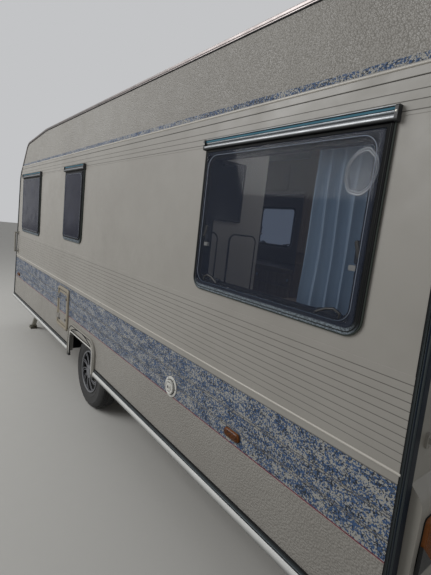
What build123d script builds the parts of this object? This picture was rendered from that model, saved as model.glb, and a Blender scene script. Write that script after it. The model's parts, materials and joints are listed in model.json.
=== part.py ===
"""Single-axle travel caravan, parked on its wheels and jockey wheel.

Millimetres. x runs forward to the towing eye, y to the caravan's left, z up from the ground.
Lengths are measured forward from the body's rear bottom corner, heights from the ground.
"""
from build123d import *
from collections import namedtuple
from math import atan2, cos, hypot, sin
import os

os.makedirs("parts", exist_ok=True)

# Body shell
body_width = 2300.0
body_length = 5416.0
floor_underside = 412.0
floor_thickness = 40.0
wall_thickness = 32.0
shell_thickness = 34.0
roof_height = 2453.0
rear_lean = 54.0
rear_corner_radius = 150.0
roof_break = 4060.0
roof_break_height = 2462.0
roof_break_radius = 2500.0
brow_length = 4880.0
brow_height = 2400.0
brow_radius = 220.0
nose_length = 5246.0
nose_height = 2036.0
nose_radius = 260.0

# Edge profile round each side wall and rail along its foot
trim_face = 28.0
trim_proud = 6.0
trim_lip = 4.0
trim_over_roof = 30.0
trim_groove_from = 8.0
trim_groove_to = 18.0
trim_groove_depth = 2.0
rail_height = 65.0
rail_proud = 15.0
rail_lip = 24.0
rail_drop = 12.0
rail_shoulder = 14.0

# Windows: a dished outer pane on a seal, hung from a rail
pane_depth = 17.0
pane_skin = 4.0
pane_overlap = 36.0
pane_radius = 62.0
pane_edge = 9.0
seal_thickness = 4.0
frame_band = 20.0
frame_inside = 6.0
pane_taper = 30.0
hinge_rail_height = 32.0
hinge_rail_gap = 0.5
hinge_rail_proud = 24.0
hinge_rail_over = 6.0
hinge_rail_skin = 6.0
hinge_rail_lip = 15.0
hinge_rail_bar = 10.0
hinge_rail_end = 10.0

# Entrance door in the right wall
door_start = 3290.0
door_width = 640.0
door_sill = 492.0
door_height = 1680.0
door_thickness = 30.0
door_frame = 14.0
door_frame_flange = 24.0
door_frame_proud = 8.0
door_corner = 60.0
door_proud = 4.0
door_light_width = 360.0
door_light_height = 470.0
door_light_sill = 1480.0
door_light_corner = 50.0
door_light_over = 20.0
door_light_proud = 8.0
door_light_taper = 30.0
door_hinge_heights = (640.0, 1320.0, 2000.0)
door_knuckle = 7.0
door_hinge_stand = 10.0
handle_plate_height = 1300.0
handle_plate_inset = 90.0
handle_plate_size = (70.0, 150.0, 12.0)
handle_grip_size = (26.0, 100.0, 14.0)

# Gap round every moving panel, and every small hinge
panel_gap = 6.0
pin_radius = 3.0
pin_clearance = 0.08
knuckle_length = 44.0
ear_gap = 0.5
ear_thickness = 5.0

# Service hatch and its locker in the left wall
hatch_start = 3040.0
hatch_width = 305.0
hatch_sill = 569.0
hatch_height = 371.0
hatch_border = 30.0
hatch_proud = 12.0
hatch_corner = 34.0
hatch_door_thickness = 22.0
hatch_door_proud = 8.0
hatch_hinge_inset = 90.0
hatch_hinge_knuckle = 6.0
hatch_hinge_stand = 9.0
hatch_lock_radius = 11.0
hatch_lock_inset = 26.0
hatch_lock_proud = 6.0
locker_depth = 420.0
locker_skin = 8.0

# Gas locker behind the front wall
gas_width = 1240.0
gas_sill = 70.0
gas_height = 470.0
gas_depth = 430.0
gas_skin = 12.0
gas_corner = 50.0
gas_lid_thickness = 30.0
gas_headroom = 60.0
gas_tray = 12.0
gas_tray_margin = 30.0
gas_hinge_stand = 14.0
gas_knuckle = 7.0

# Wheels, brakes and axle
axle_place = 2668.0
tyre_radius = 310.0
tyre_width = 170.0
tyre_shoulder = 26.0
tyre_inset = 75.0
rim_radius = 178.0
rim_width = 146.0
rim_skin = 7.0
rim_dish = 36.0
rim_plate = 6.0
rim_windows = 12
rim_window_middle = 111.0
rim_window_length = 66.0
rim_window_width = 44.0
rim_window_side = 79.0
rim_window_corner = 7.0
drum_radius = 125.0
drum_width = 62.0
hub_radius = 46.0
spindle_radius = 20.0
spindle_clearance = 0.05
stud_circle = 56.0
backplate_thickness = 5.0
axle_tube_radius = 48.0
axle_lead = 165.0
axle_tube_height = 262.0
arm_thickness = 40.0

# Wheel arches and the boxes over the wheels
arch_width = 654.0
arch_top = 676.0
arch_corner = 120.0
arch_mouth = 544.0
arch_mouth_top = 600.0
arch_mouth_corner = 34.0
arch_proud = 14.0
arch_hole_margin = 26.0
brow_recess = 8.0
brow_half = 236.0
brow_border = 14.0
box_clearance = 40.0
box_travel = 72.0
box_skin = 6.0
box_corner = 200.0

# Chassis and drawbar
beam_offset = 620.0
beam_height = 90.0
beam_flange = 45.0
beam_wall = 6.0
beam_start = 150.0
beam_end = 3700.0
cross_places = (330.0, 1500.0, 2900.0)
drawbar_start = 3060.0
drawbar_spread = 520.0
drawbar_lug = 60.0
drawbar_end = 6180.0
drawbar_pinch = 72.0

# Overrun coupling
housing_length = 330.0
housing_width = 122.0
housing_height = 96.0
shaft_radius = 25.0
shaft_height = 452.0
bellows_length = 150.0
bellows_radius = 44.0
bellows_folds = 6
shaft_stop = 60.0
coupling_width = 76.0
ball_radius = 25.0
ball_clearance = 0.1
ball_place = 6650.0
ball_height = 430.0
coupling_nose = 6702.0

# Jockey wheel
jockey_place = 6236.0
jockey_side = -150.0
jockey_tube_radius = 30.0
jockey_tube_wall = 4.0
jockey_tube_bottom = 400.0
jockey_tube_top = 800.0
jockey_leg_bottom = 232.0
jockey_leg_top = 660.0
jockey_slack = 0.1
jockey_wheel_radius = 105.0
jockey_wheel_width = 56.0
jockey_trail = 38.0
jockey_stem_radius = 11.0
jockey_stem_length = 60.0
jockey_axle_radius = 8.0
fork_plate = 5.0
fork_gap = 6.0

# Corner steadies, lowered to just above the ground
steady_front = 4860.0
steady_rear = 600.0
steady_side = 950.0
steady_pivot_drop = 42.0
steady_reach = 300.0
steady_foot_height = 6.0
steady_width = 46.0
steady_depth = 34.0
steady_wall = 4.0
steady_gap = 5.0
steady_pin_radius = 7.0

# Rear lamp panel
lamp_panel_top = 972.0
lamp_panel_bottom = 408.0
lamp_panel_depth = 28.0
lamp_width = 250.0
lamp_height = 214.0
lamp_sill = 660.0
lamp_inset = 66.0
lamp_proud = 14.0
lamp_amber_share = 0.42
lamp_panel_slope = 40.0
plate_middle = 560.0
plate_width = 520.0
plate_height = 120.0
plate_recess = 6.0

# Roof hatches, with the hinges of their lids, and roof vents
hatch_upstand = 46.0
hatch_band = 26.0
hatch_frame_corner = 30.0
hatch_lid_gap = 6.0
hatch_lid_over = 10.0
hatch_lid_corner = 40.0
hatch_lid_thickness = 40.0
hatch_lid_rim = 22.0
hatch_lid_taper = 40.0
hatch_lid_skin = 5.0
lid_knuckle = 6.0
lid_hinge_stand = 12.0
lid_hinge_drop = 10.0
roof_vent_base = 88.0
roof_vent_plate = 5.0
roof_vent_pipe = 46.0
roof_vent_hood = 74.0
roof_vent_height = 94.0
roof_vent_cowl = 34.0

# Fittings
cap_place = 1258.0
cap_height = 766.0
cap_radius = 57.0
cap_proud = 18.0
marker_width = 116.0
marker_height = 46.0
marker_proud = 18.0
handle_radius = 11.0
handle_height = 240.0
handle_stand = 44.0
vent_width = 360.0
vent_height = 170.0
vent_proud = 12.0
vent_sills = (760.0, 1460.0)
vent_slots = 6
vent_slot_pitch = 22.0
vent_slot_height = 9.0
vent_border = 25.0
vent_back = 4.0

# Furniture
bench_depth = 560.0
bench_height = 350.0
cushion_thickness = 120.0
back_height = 400.0
back_thickness = 110.0
board = 18.0
table_height = 700.0
worktop_height = 880.0
rear_inside = 110.0
bench_front = 1560.0
bed_start = 3990.0
bed_end = 4900.0
tall_start = 1580.0
tall_end = 1960.0
kitchen_end = 3250.0
kitchen_depth = 560.0
worktop = 30.0
worktop_over = 18.0
wash_start = 2240.0
wash_end = 3720.0
wash_inner = 420.0
locker_depth_over = 300.0
locker_bottom = 2080.0
furniture_gap = 4.0
wall_gap = 2.0
pad_gap = 4.0
table_place = 1180.0
table_size = (860.0, 760.0)
table_thickness = 28.0
table_corner = 80.0
table_post = 30.0
table_foot = 170.0
curtain_drop = 750.0
curtain_inset = 24.0
curtain_thickness = 36.0

# Worked out from the sizes above
half_width = body_width / 2
inner_half = half_width - wall_thickness
floor_top = floor_underside + floor_thickness
rear_reach = lamp_panel_depth + lamp_proud
rear_x = -(coupling_nose - rear_reach) / 2
rail_bottom = floor_underside - rail_drop
rail_top = rail_bottom + rail_height
wheel_side = half_width - tyre_inset - tyre_width / 2
beam_top = floor_underside
beam_bottom = beam_top - beam_height
sides = (("left", 1), ("right", -1))


def lengthwise(y):
    """Upright plane along the caravan: sketch x is the length, sketch y the height, normal to the right."""
    return Plane(origin=(rear_x, y, 0), x_dir=(1, 0, 0), z_dir=(0, -1, 0))


def level(z):
    """Level plane: sketch x is the length, sketch y the caravan's y."""
    return Plane(origin=(rear_x, 0, z), x_dir=(1, 0, 0), z_dir=(0, 0, 1))


def across(length):
    """Upright plane across the caravan: sketch x is the caravan's y, sketch y the height."""
    return Plane(origin=(rear_x + length, 0, 0), x_dir=(0, 1, 0), z_dir=(1, 0, 0))


# Outer faces of the four walls, each with its normal outwards and sketch y up the wall
nose_run = hypot(body_length - nose_length, nose_height - floor_underside)
rear_run = hypot(rear_lean, roof_height - floor_underside)
front_up = ((nose_length - body_length) / nose_run, (nose_height - floor_underside) / nose_run)
rear_up = (rear_lean / rear_run, (roof_height - floor_underside) / rear_run)
wall_faces = {
    "left": Plane(origin=(rear_x, half_width, 0), x_dir=(-1, 0, 0), z_dir=(0, 1, 0)),
    "right": Plane(origin=(rear_x, -half_width, 0), x_dir=(1, 0, 0), z_dir=(0, -1, 0)),
    "front": Plane(origin=(rear_x + body_length, 0, floor_underside), x_dir=(0, 1, 0),
                   z_dir=(front_up[1], 0, -front_up[0])),
    "rear": Plane(origin=(rear_x, 0, floor_underside), x_dir=(0, -1, 0),
                  z_dir=(-rear_up[1], 0, rear_up[0])),
}


def on_wall(wall, along, up, out=0.0):
    """Plane on a wall's outer face. Along is the length on a side wall and y on the others."""
    face = wall_faces[wall]
    sketch_x = {"left": -along, "right": along, "front": along, "rear": -along}[wall]
    place = face.from_local_coords(Vector(sketch_x, up, out))
    return Plane(origin=place, x_dir=face.x_dir, z_dir=face.z_dir)


def body_outline():
    """Adds the body's side outline to the open sketch."""
    with BuildLine(Plane.XY) as outline:
        FilletPolyline(
            (0, floor_underside), (rear_lean, roof_height), (roof_break, roof_break_height),
            (brow_length, brow_height), (nose_length, nose_height), (body_length, floor_underside),
            radius=[rear_corner_radius, roof_break_radius, brow_radius, nose_radius])
        Line((body_length, floor_underside), (0, floor_underside))
    make_face(outline.edges())


def shell_piece(*region):
    """Makes the stretch of the body's shell between the side walls that lies inside a side view region."""
    with BuildSketch(lengthwise(inner_half)) as section:
        body_outline()
    extrude(section.sketch, amount=2 * inner_half)
    with BuildSketch(lengthwise(inner_half)) as hollow:
        body_outline()
        offset(amount=-shell_thickness)
    extrude(hollow.sketch, amount=2 * inner_half, mode=Mode.SUBTRACT)
    with BuildSketch(lengthwise(inner_half)) as stretch:
        Polygon(*region)
    extrude(stretch.sketch, amount=2 * inner_half, mode=Mode.INTERSECT)


def box_between(low, high):
    """Box from its low to its high corner, each a length, a y and a height, as one closed block."""
    with BuildSketch(level(low[2])) as base:
        Polygon((low[0], low[1]), (high[0], low[1]), (high[0], high[1]), (low[0], high[1]))
    extrude(base.sketch, amount=high[2] - low[2])


def cut_between(low, high):
    """Cuts a box from its low to its high corner out of the open part."""
    with BuildSketch(level(low[2])) as base:
        Polygon((low[0], low[1]), (high[0], low[1]), (high[0], high[1]), (low[0], high[1]))
    extrude(base.sketch, amount=high[2] - low[2], mode=Mode.SUBTRACT)


def hinge_pin(axis, knuckle_radius, seat):
    """Pin held by two ears. Seat is the far corner, in the plane of the axis, of the ears' foot."""
    with BuildSketch(axis) as pin:
        Circle(pin_radius)
    extrude(pin.sketch, amount=knuckle_length / 2 + ear_gap + ear_thickness, both=True)
    back = knuckle_radius if seat[1] < 0 else -knuckle_radius
    for end in (-1, 1):
        with BuildSketch(axis.offset(end * (knuckle_length / 2 + ear_gap))) as ear:
            Circle(knuckle_radius)
            Polygon((0, back), (seat[0], back), (seat[0], seat[1]), (0, seat[1]))
        extrude(ear.sketch, amount=end * ear_thickness)


def hinge_knuckle(axis, knuckle_radius, leaf):
    """Knuckle round a hinge's pin with its leaf. Leaf gives the corners of its section, from the axis."""
    with BuildSketch(axis) as knuckle:
        Circle(knuckle_radius)
        Polygon(*leaf)
    extrude(knuckle.sketch, amount=knuckle_length / 2, both=True)
    with BuildSketch(axis) as bore:
        Circle(pin_radius + pin_clearance)
    extrude(bore.sketch, amount=knuckle_length / 2, both=True, mode=Mode.SUBTRACT)


# Windows by wall: start is the length (or y) of the pane's centre, sill its height up the wall
Window = namedtuple("Window", "name wall centre sill width height")
windows = (
    Window("dinette_left", "left", 687.5, 1340, 921, 664),
    Window("washroom", "left", 3059, 1384, 504, 620),
    Window("bed_left", "left", 4600.5, 1335, 867, 669),
    Window("dinette_right", "right", 687.5, 1340, 921, 664),
    Window("kitchen", "right", 2800, 1480, 640, 524),
    Window("bed_right", "right", 4600.5, 1335, 867, 669),
    Window("front", "front", 0, 860, 1480, 600),
    Window("rear", "rear", 0, 930, 1480, 662),
)


def window_plane(window, out=0.0):
    """Plane at the centre of a window's pane, out from the wall's face."""
    return on_wall(window.wall, window.centre, window.sill + window.height / 2, out)


def cut_windows(wall):
    """Cuts the window holes of one wall through it."""
    for window in windows:
        if window.wall == wall:
            with BuildSketch(window_plane(window)) as hole:
                RectangleRounded(window.width - 2 * pane_overlap, window.height - 2 * pane_overlap,
                                 pane_radius - pane_edge)
            extrude(hole.sketch, amount=-2 * shell_thickness, mode=Mode.SUBTRACT)


# Body shell

with BuildPart() as floor_panel:
    box_between((0, -inner_half, floor_underside), (body_length, inner_half, floor_top))
    with BuildSketch(lengthwise(inner_half)):
        body_outline()
    extrude(amount=2 * inner_half, mode=Mode.INTERSECT)
    box_half = tyre_radius + box_clearance
    box_inner = wheel_side - tyre_width / 2 - box_clearance
    for side, sign in sides:
        near, far = sorted((sign * box_inner, sign * inner_half))
        cut_between((axle_place - box_half, near, floor_underside), (axle_place + box_half, far, floor_top))
floor_panel.part.label = "floor_panel"
export_step(floor_panel.part, "parts/floor_panel.step")

for side, sign in sides:
    with BuildPart() as side_wall:
        with BuildSketch(lengthwise(half_width if sign > 0 else -inner_half)):
            body_outline()
        extrude(amount=wall_thickness)
        cut_windows(side)
        with BuildSketch(lengthwise(half_width if sign > 0 else -inner_half)):
            with Locations((axle_place, (arch_mouth_top + arch_hole_margin) / 2)):
                RectangleRounded(arch_mouth + 2 * arch_hole_margin, arch_mouth_top + arch_hole_margin,
                                 arch_corner / 2)
        extrude(amount=wall_thickness, mode=Mode.SUBTRACT)
        if side == "left":
            with BuildSketch(on_wall("left", hatch_start + hatch_width / 2, hatch_sill + hatch_height / 2)):
                Rectangle(hatch_width - hatch_border, hatch_height - hatch_border)
            extrude(amount=-wall_thickness, mode=Mode.SUBTRACT)
        else:
            with BuildSketch(on_wall("right", door_start + door_width / 2, door_sill + door_height / 2)):
                RectangleRounded(door_width, door_height, door_corner + door_frame)
            extrude(amount=-wall_thickness, mode=Mode.SUBTRACT)
    side_wall.part.label = f"side_wall_{side}"
    export_step(side_wall.part, f"parts/side_wall_{side}.step")

rear_wall_top = roof_height - rear_corner_radius
front_wall_top = nose_height - nose_radius / 2
shell_top = roof_height + roof_break_height
middle = body_length / 2

with BuildPart() as rear_wall:
    shell_piece((-100, floor_top), (middle / 2, floor_top), (middle / 2, rear_wall_top),
                (-100, rear_wall_top))
    cut_windows("rear")
rear_wall.part.label = "rear_wall"
export_step(rear_wall.part, "parts/rear_wall.step")

gas_hinge_up = gas_sill + gas_height + gas_knuckle
gas_hinge_sides = (-gas_width / 3, 0, gas_width / 3)


def gas_hinge_axis(y):
    """Plane across the gas locker's hinge: sketch x up the wall, sketch y inwards to the wall."""
    face = on_wall("front", y, gas_hinge_up, gas_hinge_stand)
    return Plane(origin=face.origin, x_dir=face.y_dir, z_dir=face.x_dir * -1)


with BuildPart() as front_wall:
    shell_piece((middle, floor_top), (body_length + 100, floor_top), (body_length + 100, front_wall_top),
                (middle, front_wall_top))
    cut_windows("front")
    with BuildSketch(on_wall("front", 0, gas_sill + gas_height / 2)):
        RectangleRounded(gas_width, gas_height, gas_corner)
    extrude(amount=-2 * shell_thickness, mode=Mode.SUBTRACT)
    for hinge_y in gas_hinge_sides:
        hinge_pin(gas_hinge_axis(hinge_y), gas_knuckle, (2 * gas_knuckle, gas_hinge_stand + 2))
front_wall.part.label = "front_wall"
export_step(front_wall.part, "parts/front_wall.step")

# Roof hatches: centre and size along and across, and which edge the lid is hinged on
Hatch = namedtuple("Hatch", "name centre side length width hinge")
hatches = (
    Hatch("main", 1500, 0, 500, 700, 1),
    Hatch("washroom", 3080, 640, 400, 400, -1),
)
roof_run = hypot(roof_break - rear_lean, roof_break_height - roof_height)
roof_forward = ((roof_break - rear_lean) / roof_run, (roof_break_height - roof_height) / roof_run)


def on_roof(length, side, out=0.0):
    """Plane on the roof's outer face: sketch x forward, sketch y to the left. Out is square to the roof."""
    height = roof_height + (length - rear_lean) * roof_forward[1] / roof_forward[0]
    face = Plane(origin=(rear_x + length, side, height), x_dir=(roof_forward[0], 0, roof_forward[1]),
                 z_dir=(-roof_forward[1], 0, roof_forward[0]))
    return face.offset(out)


with BuildPart() as roof_panel:
    shell_piece((-100, rear_wall_top), (middle / 2, rear_wall_top), (middle, front_wall_top),
                (body_length + 100, front_wall_top), (body_length + 100, shell_top), (-100, shell_top))
    for hatch in hatches:
        with BuildSketch(on_roof(hatch.centre, hatch.side)):
            Rectangle(hatch.length - 2 * hatch_band, hatch.width - 2 * hatch_band)
        extrude(amount=shell_thickness, both=True, mode=Mode.SUBTRACT)
roof_panel.part.label = "roof_panel"
export_step(roof_panel.part, "parts/roof_panel.step")

# Edge profile along both side walls, with a lip over the roof and ends
with BuildPart() as edge_trims:
    for side, sign in sides:
        outer = half_width + trim_proud
        with BuildSketch(lengthwise(outer if sign > 0 else -half_width)):
            body_outline()
            offset(amount=trim_lip)
        extrude(amount=trim_proud)
        with BuildSketch(lengthwise(outer if sign > 0 else -half_width)):
            body_outline()
            offset(amount=-trim_face)
        extrude(amount=trim_proud, mode=Mode.SUBTRACT)
        with BuildSketch(lengthwise(outer if sign > 0 else -outer + trim_groove_depth)):
            body_outline()
            offset(amount=-trim_groove_from)
            with BuildSketch(mode=Mode.SUBTRACT):
                body_outline()
                offset(amount=-trim_groove_to)
        extrude(amount=trim_groove_depth, mode=Mode.SUBTRACT)
        with BuildSketch(lengthwise(half_width if sign > 0 else -half_width + trim_over_roof)):
            body_outline()
            offset(amount=trim_lip)
        extrude(amount=trim_over_roof)
        with BuildSketch(lengthwise(half_width if sign > 0 else -half_width + trim_over_roof)):
            body_outline()
        extrude(amount=trim_over_roof, mode=Mode.SUBTRACT)
    cut_between((-50, -half_width - 50, 0), (body_length + 50, half_width + 50, rail_top))
edge_trims.part.label = "edge_trims"
export_step(edge_trims.part, "parts/edge_trims.step")

# Rail along the foot of each side wall, broken at the wheel arch
rail_step = half_width + rail_proud / 2
rail_bulge_top = rail_top - rail_shoulder - rail_proud / 2
with BuildPart() as skirt_rails:
    for side, sign in sides:
        for start, stop in ((0, axle_place - arch_width / 2), (axle_place + arch_width / 2, body_length)):
            with BuildSketch(across(start)):
                with BuildLine():
                    Polyline((sign * half_width, rail_top), (sign * rail_step, rail_top),
                             (sign * rail_step, rail_top - rail_shoulder),
                             (sign * (half_width + rail_proud), rail_bulge_top))
                    ThreePointArc((sign * (half_width + rail_proud), rail_bulge_top),
                                  (sign * (half_width + rail_proud * 1.2),
                                   (rail_bulge_top + rail_bottom) / 2),
                                  (sign * rail_step, rail_bottom))
                    Polyline((sign * rail_step, rail_bottom), (sign * (half_width - rail_lip), rail_bottom),
                             (sign * (half_width - rail_lip), floor_underside),
                             (sign * half_width, floor_underside), (sign * half_width, rail_top))
                make_face()
            extrude(amount=stop - start)
skirt_rails.part.label = "skirt_rails"
export_step(skirt_rails.part, "parts/skirt_rails.step")

# Moulded wheel arch: a frame over the hole in the wall, with a sunk panel over its mouth
arch_rear, arch_front = axle_place - arch_width / 2, axle_place + arch_width / 2
mouth_rear, mouth_front = axle_place - arch_mouth / 2, axle_place + arch_mouth / 2
brow_foot = arch_mouth_top + brow_border
with BuildPart() as wheel_arches:
    for side, sign in sides:
        outer_y = half_width + arch_proud
        with BuildSketch(lengthwise(outer_y if sign > 0 else -half_width)):
            with BuildLine():
                FilletPolyline((arch_rear, rail_bottom), (arch_rear, arch_top), (arch_front, arch_top),
                               (arch_front, rail_bottom), radius=arch_corner)
                Line((arch_front, rail_bottom), (arch_rear, rail_bottom))
            make_face()
        extrude(amount=arch_proud)
        with BuildSketch(lengthwise(outer_y if sign > 0 else -half_width)):
            with BuildLine():
                FilletPolyline((mouth_rear, rail_bottom), (mouth_rear, arch_mouth_top),
                               (mouth_front, arch_mouth_top), (mouth_front, rail_bottom),
                               radius=arch_mouth_corner)
                Line((mouth_front, rail_bottom), (mouth_rear, rail_bottom))
            make_face()
        extrude(amount=arch_proud, mode=Mode.SUBTRACT)
        recess_y = outer_y if sign > 0 else -outer_y + brow_recess
        with BuildSketch(lengthwise(recess_y)):
            with BuildLine():
                Line((axle_place - brow_half, brow_foot), (axle_place + brow_half, brow_foot))
                ThreePointArc((axle_place + brow_half, brow_foot), (axle_place, arch_top - brow_border),
                              (axle_place - brow_half, brow_foot))
            make_face()
        extrude(amount=brow_recess, mode=Mode.SUBTRACT)
wheel_arches.part.label = "wheel_arches"
export_step(wheel_arches.part, "parts/wheel_arches.step")

box_top = 2 * tyre_radius + box_travel
with BuildPart() as wheel_boxes:
    for side, sign in sides:
        inner_y = box_inner if sign > 0 else -inner_half
        depth = inner_half - box_inner
        with BuildSketch(lengthwise(inner_y + depth)):
            with BuildLine():
                FilletPolyline((axle_place - box_half, floor_underside), (axle_place - box_half, box_top),
                               (axle_place + box_half, box_top), (axle_place + box_half, floor_underside),
                               radius=box_corner)
                Line((axle_place + box_half, floor_underside), (axle_place - box_half, floor_underside))
            make_face()
        extrude(amount=depth)
        cut_y = inner_y + depth if sign > 0 else inner_y + depth - box_skin
        inside, inside_top = box_half - box_skin, box_top - box_skin
        with BuildSketch(lengthwise(cut_y)):
            with BuildLine():
                FilletPolyline((axle_place - inside, 0), (axle_place - inside, inside_top),
                               (axle_place + inside, inside_top), (axle_place + inside, 0),
                               radius=box_corner - box_skin)
                Line((axle_place + inside, 0), (axle_place - inside, 0))
            make_face()
        extrude(amount=depth - box_skin, mode=Mode.SUBTRACT)
wheel_boxes.part.label = "wheel_boxes"
export_step(wheel_boxes.part, "parts/wheel_boxes.step")

# Windows

with BuildPart() as window_frames:
    for window in windows:
        hole_width = window.width - 2 * pane_overlap
        hole_height = window.height - 2 * pane_overlap
        hole_radius = pane_radius - pane_edge
        thickness = wall_thickness if window.wall in ("left", "right") else shell_thickness
        with BuildSketch(window_plane(window)):
            RectangleRounded(window.width - 2 * pane_edge, window.height - 2 * pane_edge, hole_radius)
        extrude(amount=seal_thickness)
        with BuildSketch(window_plane(window, -thickness - frame_inside)):
            RectangleRounded(hole_width, hole_height, hole_radius)
        extrude(amount=thickness + frame_inside)
        with BuildSketch(window_plane(window, -thickness - frame_inside)):
            RectangleRounded(hole_width - 2 * frame_band, hole_height - 2 * frame_band,
                             hole_radius - frame_band)
        extrude(amount=thickness + frame_inside + seal_thickness, mode=Mode.SUBTRACT)
window_frames.part.label = "window_frames"
export_step(window_frames.part, "parts/window_frames.step")

with BuildPart() as window_panes:
    for window in windows:
        with BuildSketch(window_plane(window, seal_thickness)):
            RectangleRounded(window.width, window.height, pane_radius)
        extrude(amount=pane_skin)
        with BuildSketch(window_plane(window, seal_thickness + pane_skin)):
            RectangleRounded(window.width, window.height, pane_radius)
        extrude(amount=pane_depth - seal_thickness - pane_skin, taper=pane_taper)
        with BuildSketch(window_plane(window, seal_thickness)):
            RectangleRounded(window.width - 4 * pane_edge, window.height - 4 * pane_edge,
                             pane_radius - 2 * pane_edge)
        extrude(amount=pane_depth - seal_thickness - pane_skin, mode=Mode.SUBTRACT)
window_panes.part.label = "window_panes"
export_step(window_panes.part, "parts/window_panes.step")

# Rails that the panes hang from: a flat back, a lip along the top and a round bar, with a cap at each end
with BuildPart() as window_rails:
    for window in windows:
        rail_middle = on_wall(window.wall, window.centre,
                              window.sill + window.height + hinge_rail_gap + hinge_rail_height / 2)
        rail_section = Plane(origin=rail_middle.origin, x_dir=rail_middle.z_dir,
                             z_dir=rail_middle.x_dir * -1)
        rail_half = window.width / 2 + hinge_rail_over
        half_height = hinge_rail_height / 2
        with BuildSketch(rail_section):
            with Locations((hinge_rail_skin / 2, 0)):
                Rectangle(hinge_rail_skin, hinge_rail_height)
            with Locations((hinge_rail_lip / 2, half_height - hinge_rail_skin / 3)):
                Rectangle(hinge_rail_lip, hinge_rail_skin / 1.5)
            with Locations((hinge_rail_proud - hinge_rail_bar, hinge_rail_bar - half_height)):
                Circle(hinge_rail_bar)
        extrude(amount=rail_half - hinge_rail_end, both=True)
        for end in (-1, 1):
            with BuildSketch(rail_section.offset(end * (rail_half - hinge_rail_end))):
                with BuildLine():
                    FilletPolyline((0, -half_height), (hinge_rail_proud, -half_height),
                                   (hinge_rail_proud, half_height), (0, half_height),
                                   radius=hinge_rail_bar)
                    Line((0, half_height), (0, -half_height))
                make_face()
            extrude(amount=end * hinge_rail_end)
window_rails.part.label = "window_rails"
export_step(window_rails.part, "parts/window_rails.step")

# Entrance door

door_hinge_out = door_frame_proud + door_hinge_stand
door_edge = door_start + door_width - door_frame - panel_gap
door_hinge_place = door_edge + panel_gap / 2


def door_hinge_axis(z):
    """Plane across the door's hinge: sketch x forward, sketch y inwards to the wall."""
    return Plane(origin=(rear_x + door_hinge_place, -half_width - door_hinge_out, z), x_dir=(1, 0, 0),
                 z_dir=(0, 0, 1))


with BuildPart() as door_surround:
    with BuildSketch(on_wall("right", door_start + door_width / 2, door_sill + door_height / 2)):
        RectangleRounded(door_width + 2 * door_frame_flange, door_height + 2 * door_frame_flange,
                         door_corner + door_frame + door_frame_flange)
    extrude(amount=door_frame_proud)
    with BuildSketch(on_wall("right", door_start + door_width / 2, door_sill + door_height / 2)):
        RectangleRounded(door_width, door_height, door_corner + door_frame)
    extrude(amount=-wall_thickness - frame_inside)
    with BuildSketch(on_wall("right", door_start + door_width / 2, door_sill + door_height / 2,
                             door_frame_proud)):
        RectangleRounded(door_width - 2 * door_frame, door_height - 2 * door_frame, door_corner)
    extrude(amount=-wall_thickness - frame_inside - door_frame_proud, mode=Mode.SUBTRACT)
    for hinge_height in door_hinge_heights:
        hinge_pin(door_hinge_axis(hinge_height), door_knuckle, (20, door_hinge_out - door_frame_proud + 2))
door_surround.part.label = "door_surround"
export_step(door_surround.part, "parts/door_surround.step")

door_leaf_width = door_width - 2 * door_frame - 2 * panel_gap
door_leaf_height = door_height - 2 * door_frame - 2 * panel_gap
door_centre = door_start + door_width / 2
with BuildPart() as door_panel:
    with BuildSketch(on_wall("right", door_centre, door_sill + door_height / 2, door_proud)):
        RectangleRounded(door_leaf_width, door_leaf_height, door_corner - panel_gap)
    extrude(amount=-door_thickness)
    with BuildSketch(on_wall("right", door_centre, door_light_sill + door_light_height / 2, door_proud)):
        RectangleRounded(door_light_width, door_light_height, door_light_corner)
    extrude(amount=-door_thickness, mode=Mode.SUBTRACT)
    for hinge_height in door_hinge_heights:
        leaf_in = door_hinge_out - door_proud + 3
        hinge_knuckle(door_hinge_axis(hinge_height), door_knuckle,
                      ((0, -4), (0, 4), (-panel_gap, leaf_in), (-40, leaf_in), (-40, leaf_in - 8),
                       (-8, -4)))
door_panel.part.label = "door_panel"
export_step(door_panel.part, "parts/door_panel.step")

with BuildPart() as door_light:
    with BuildSketch(on_wall("right", door_centre, door_light_sill + door_light_height / 2, door_proud)):
        RectangleRounded(door_light_width + 2 * door_light_over, door_light_height + 2 * door_light_over,
                         door_light_corner + door_light_over / 2)
    extrude(amount=door_light_proud, taper=door_light_taper)
door_light.part.label = "door_light"
export_step(door_light.part, "parts/door_light.step")

with BuildPart() as door_handle:
    plate_along, plate_up, plate_out = handle_plate_size
    grip_along, grip_up, grip_out = handle_grip_size
    with BuildSketch(on_wall("right", door_start + handle_plate_inset, handle_plate_height, door_proud)):
        RectangleRounded(plate_along, plate_up, plate_out)
    extrude(amount=plate_out)
    with BuildSketch(on_wall("right", door_start + handle_plate_inset, handle_plate_height,
                             door_proud + plate_out)):
        RectangleRounded(grip_along, grip_up, grip_along / 3)
    extrude(amount=grip_out, taper=pane_taper / 3)
door_handle.part.label = "door_handle"
export_step(door_handle.part, "parts/door_handle.step")

# Service hatch

hatch_hinge_out = hatch_proud + hatch_hinge_stand
hatch_leaf_width = hatch_width - 2 * hatch_border
hatch_leaf_height = hatch_height - 2 * hatch_border
hatch_hinge_place = hatch_start + hatch_width - hatch_border + panel_gap / 2
hatch_hinge_heights = (hatch_sill + hatch_hinge_inset, hatch_sill + hatch_height - hatch_hinge_inset)


def hatch_hinge_axis(z):
    """Plane across the service hatch's hinge: sketch x forward, sketch y outwards."""
    return Plane(origin=(rear_x + hatch_hinge_place, half_width + hatch_hinge_out, z), x_dir=(1, 0, 0),
                 z_dir=(0, 0, 1))


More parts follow.
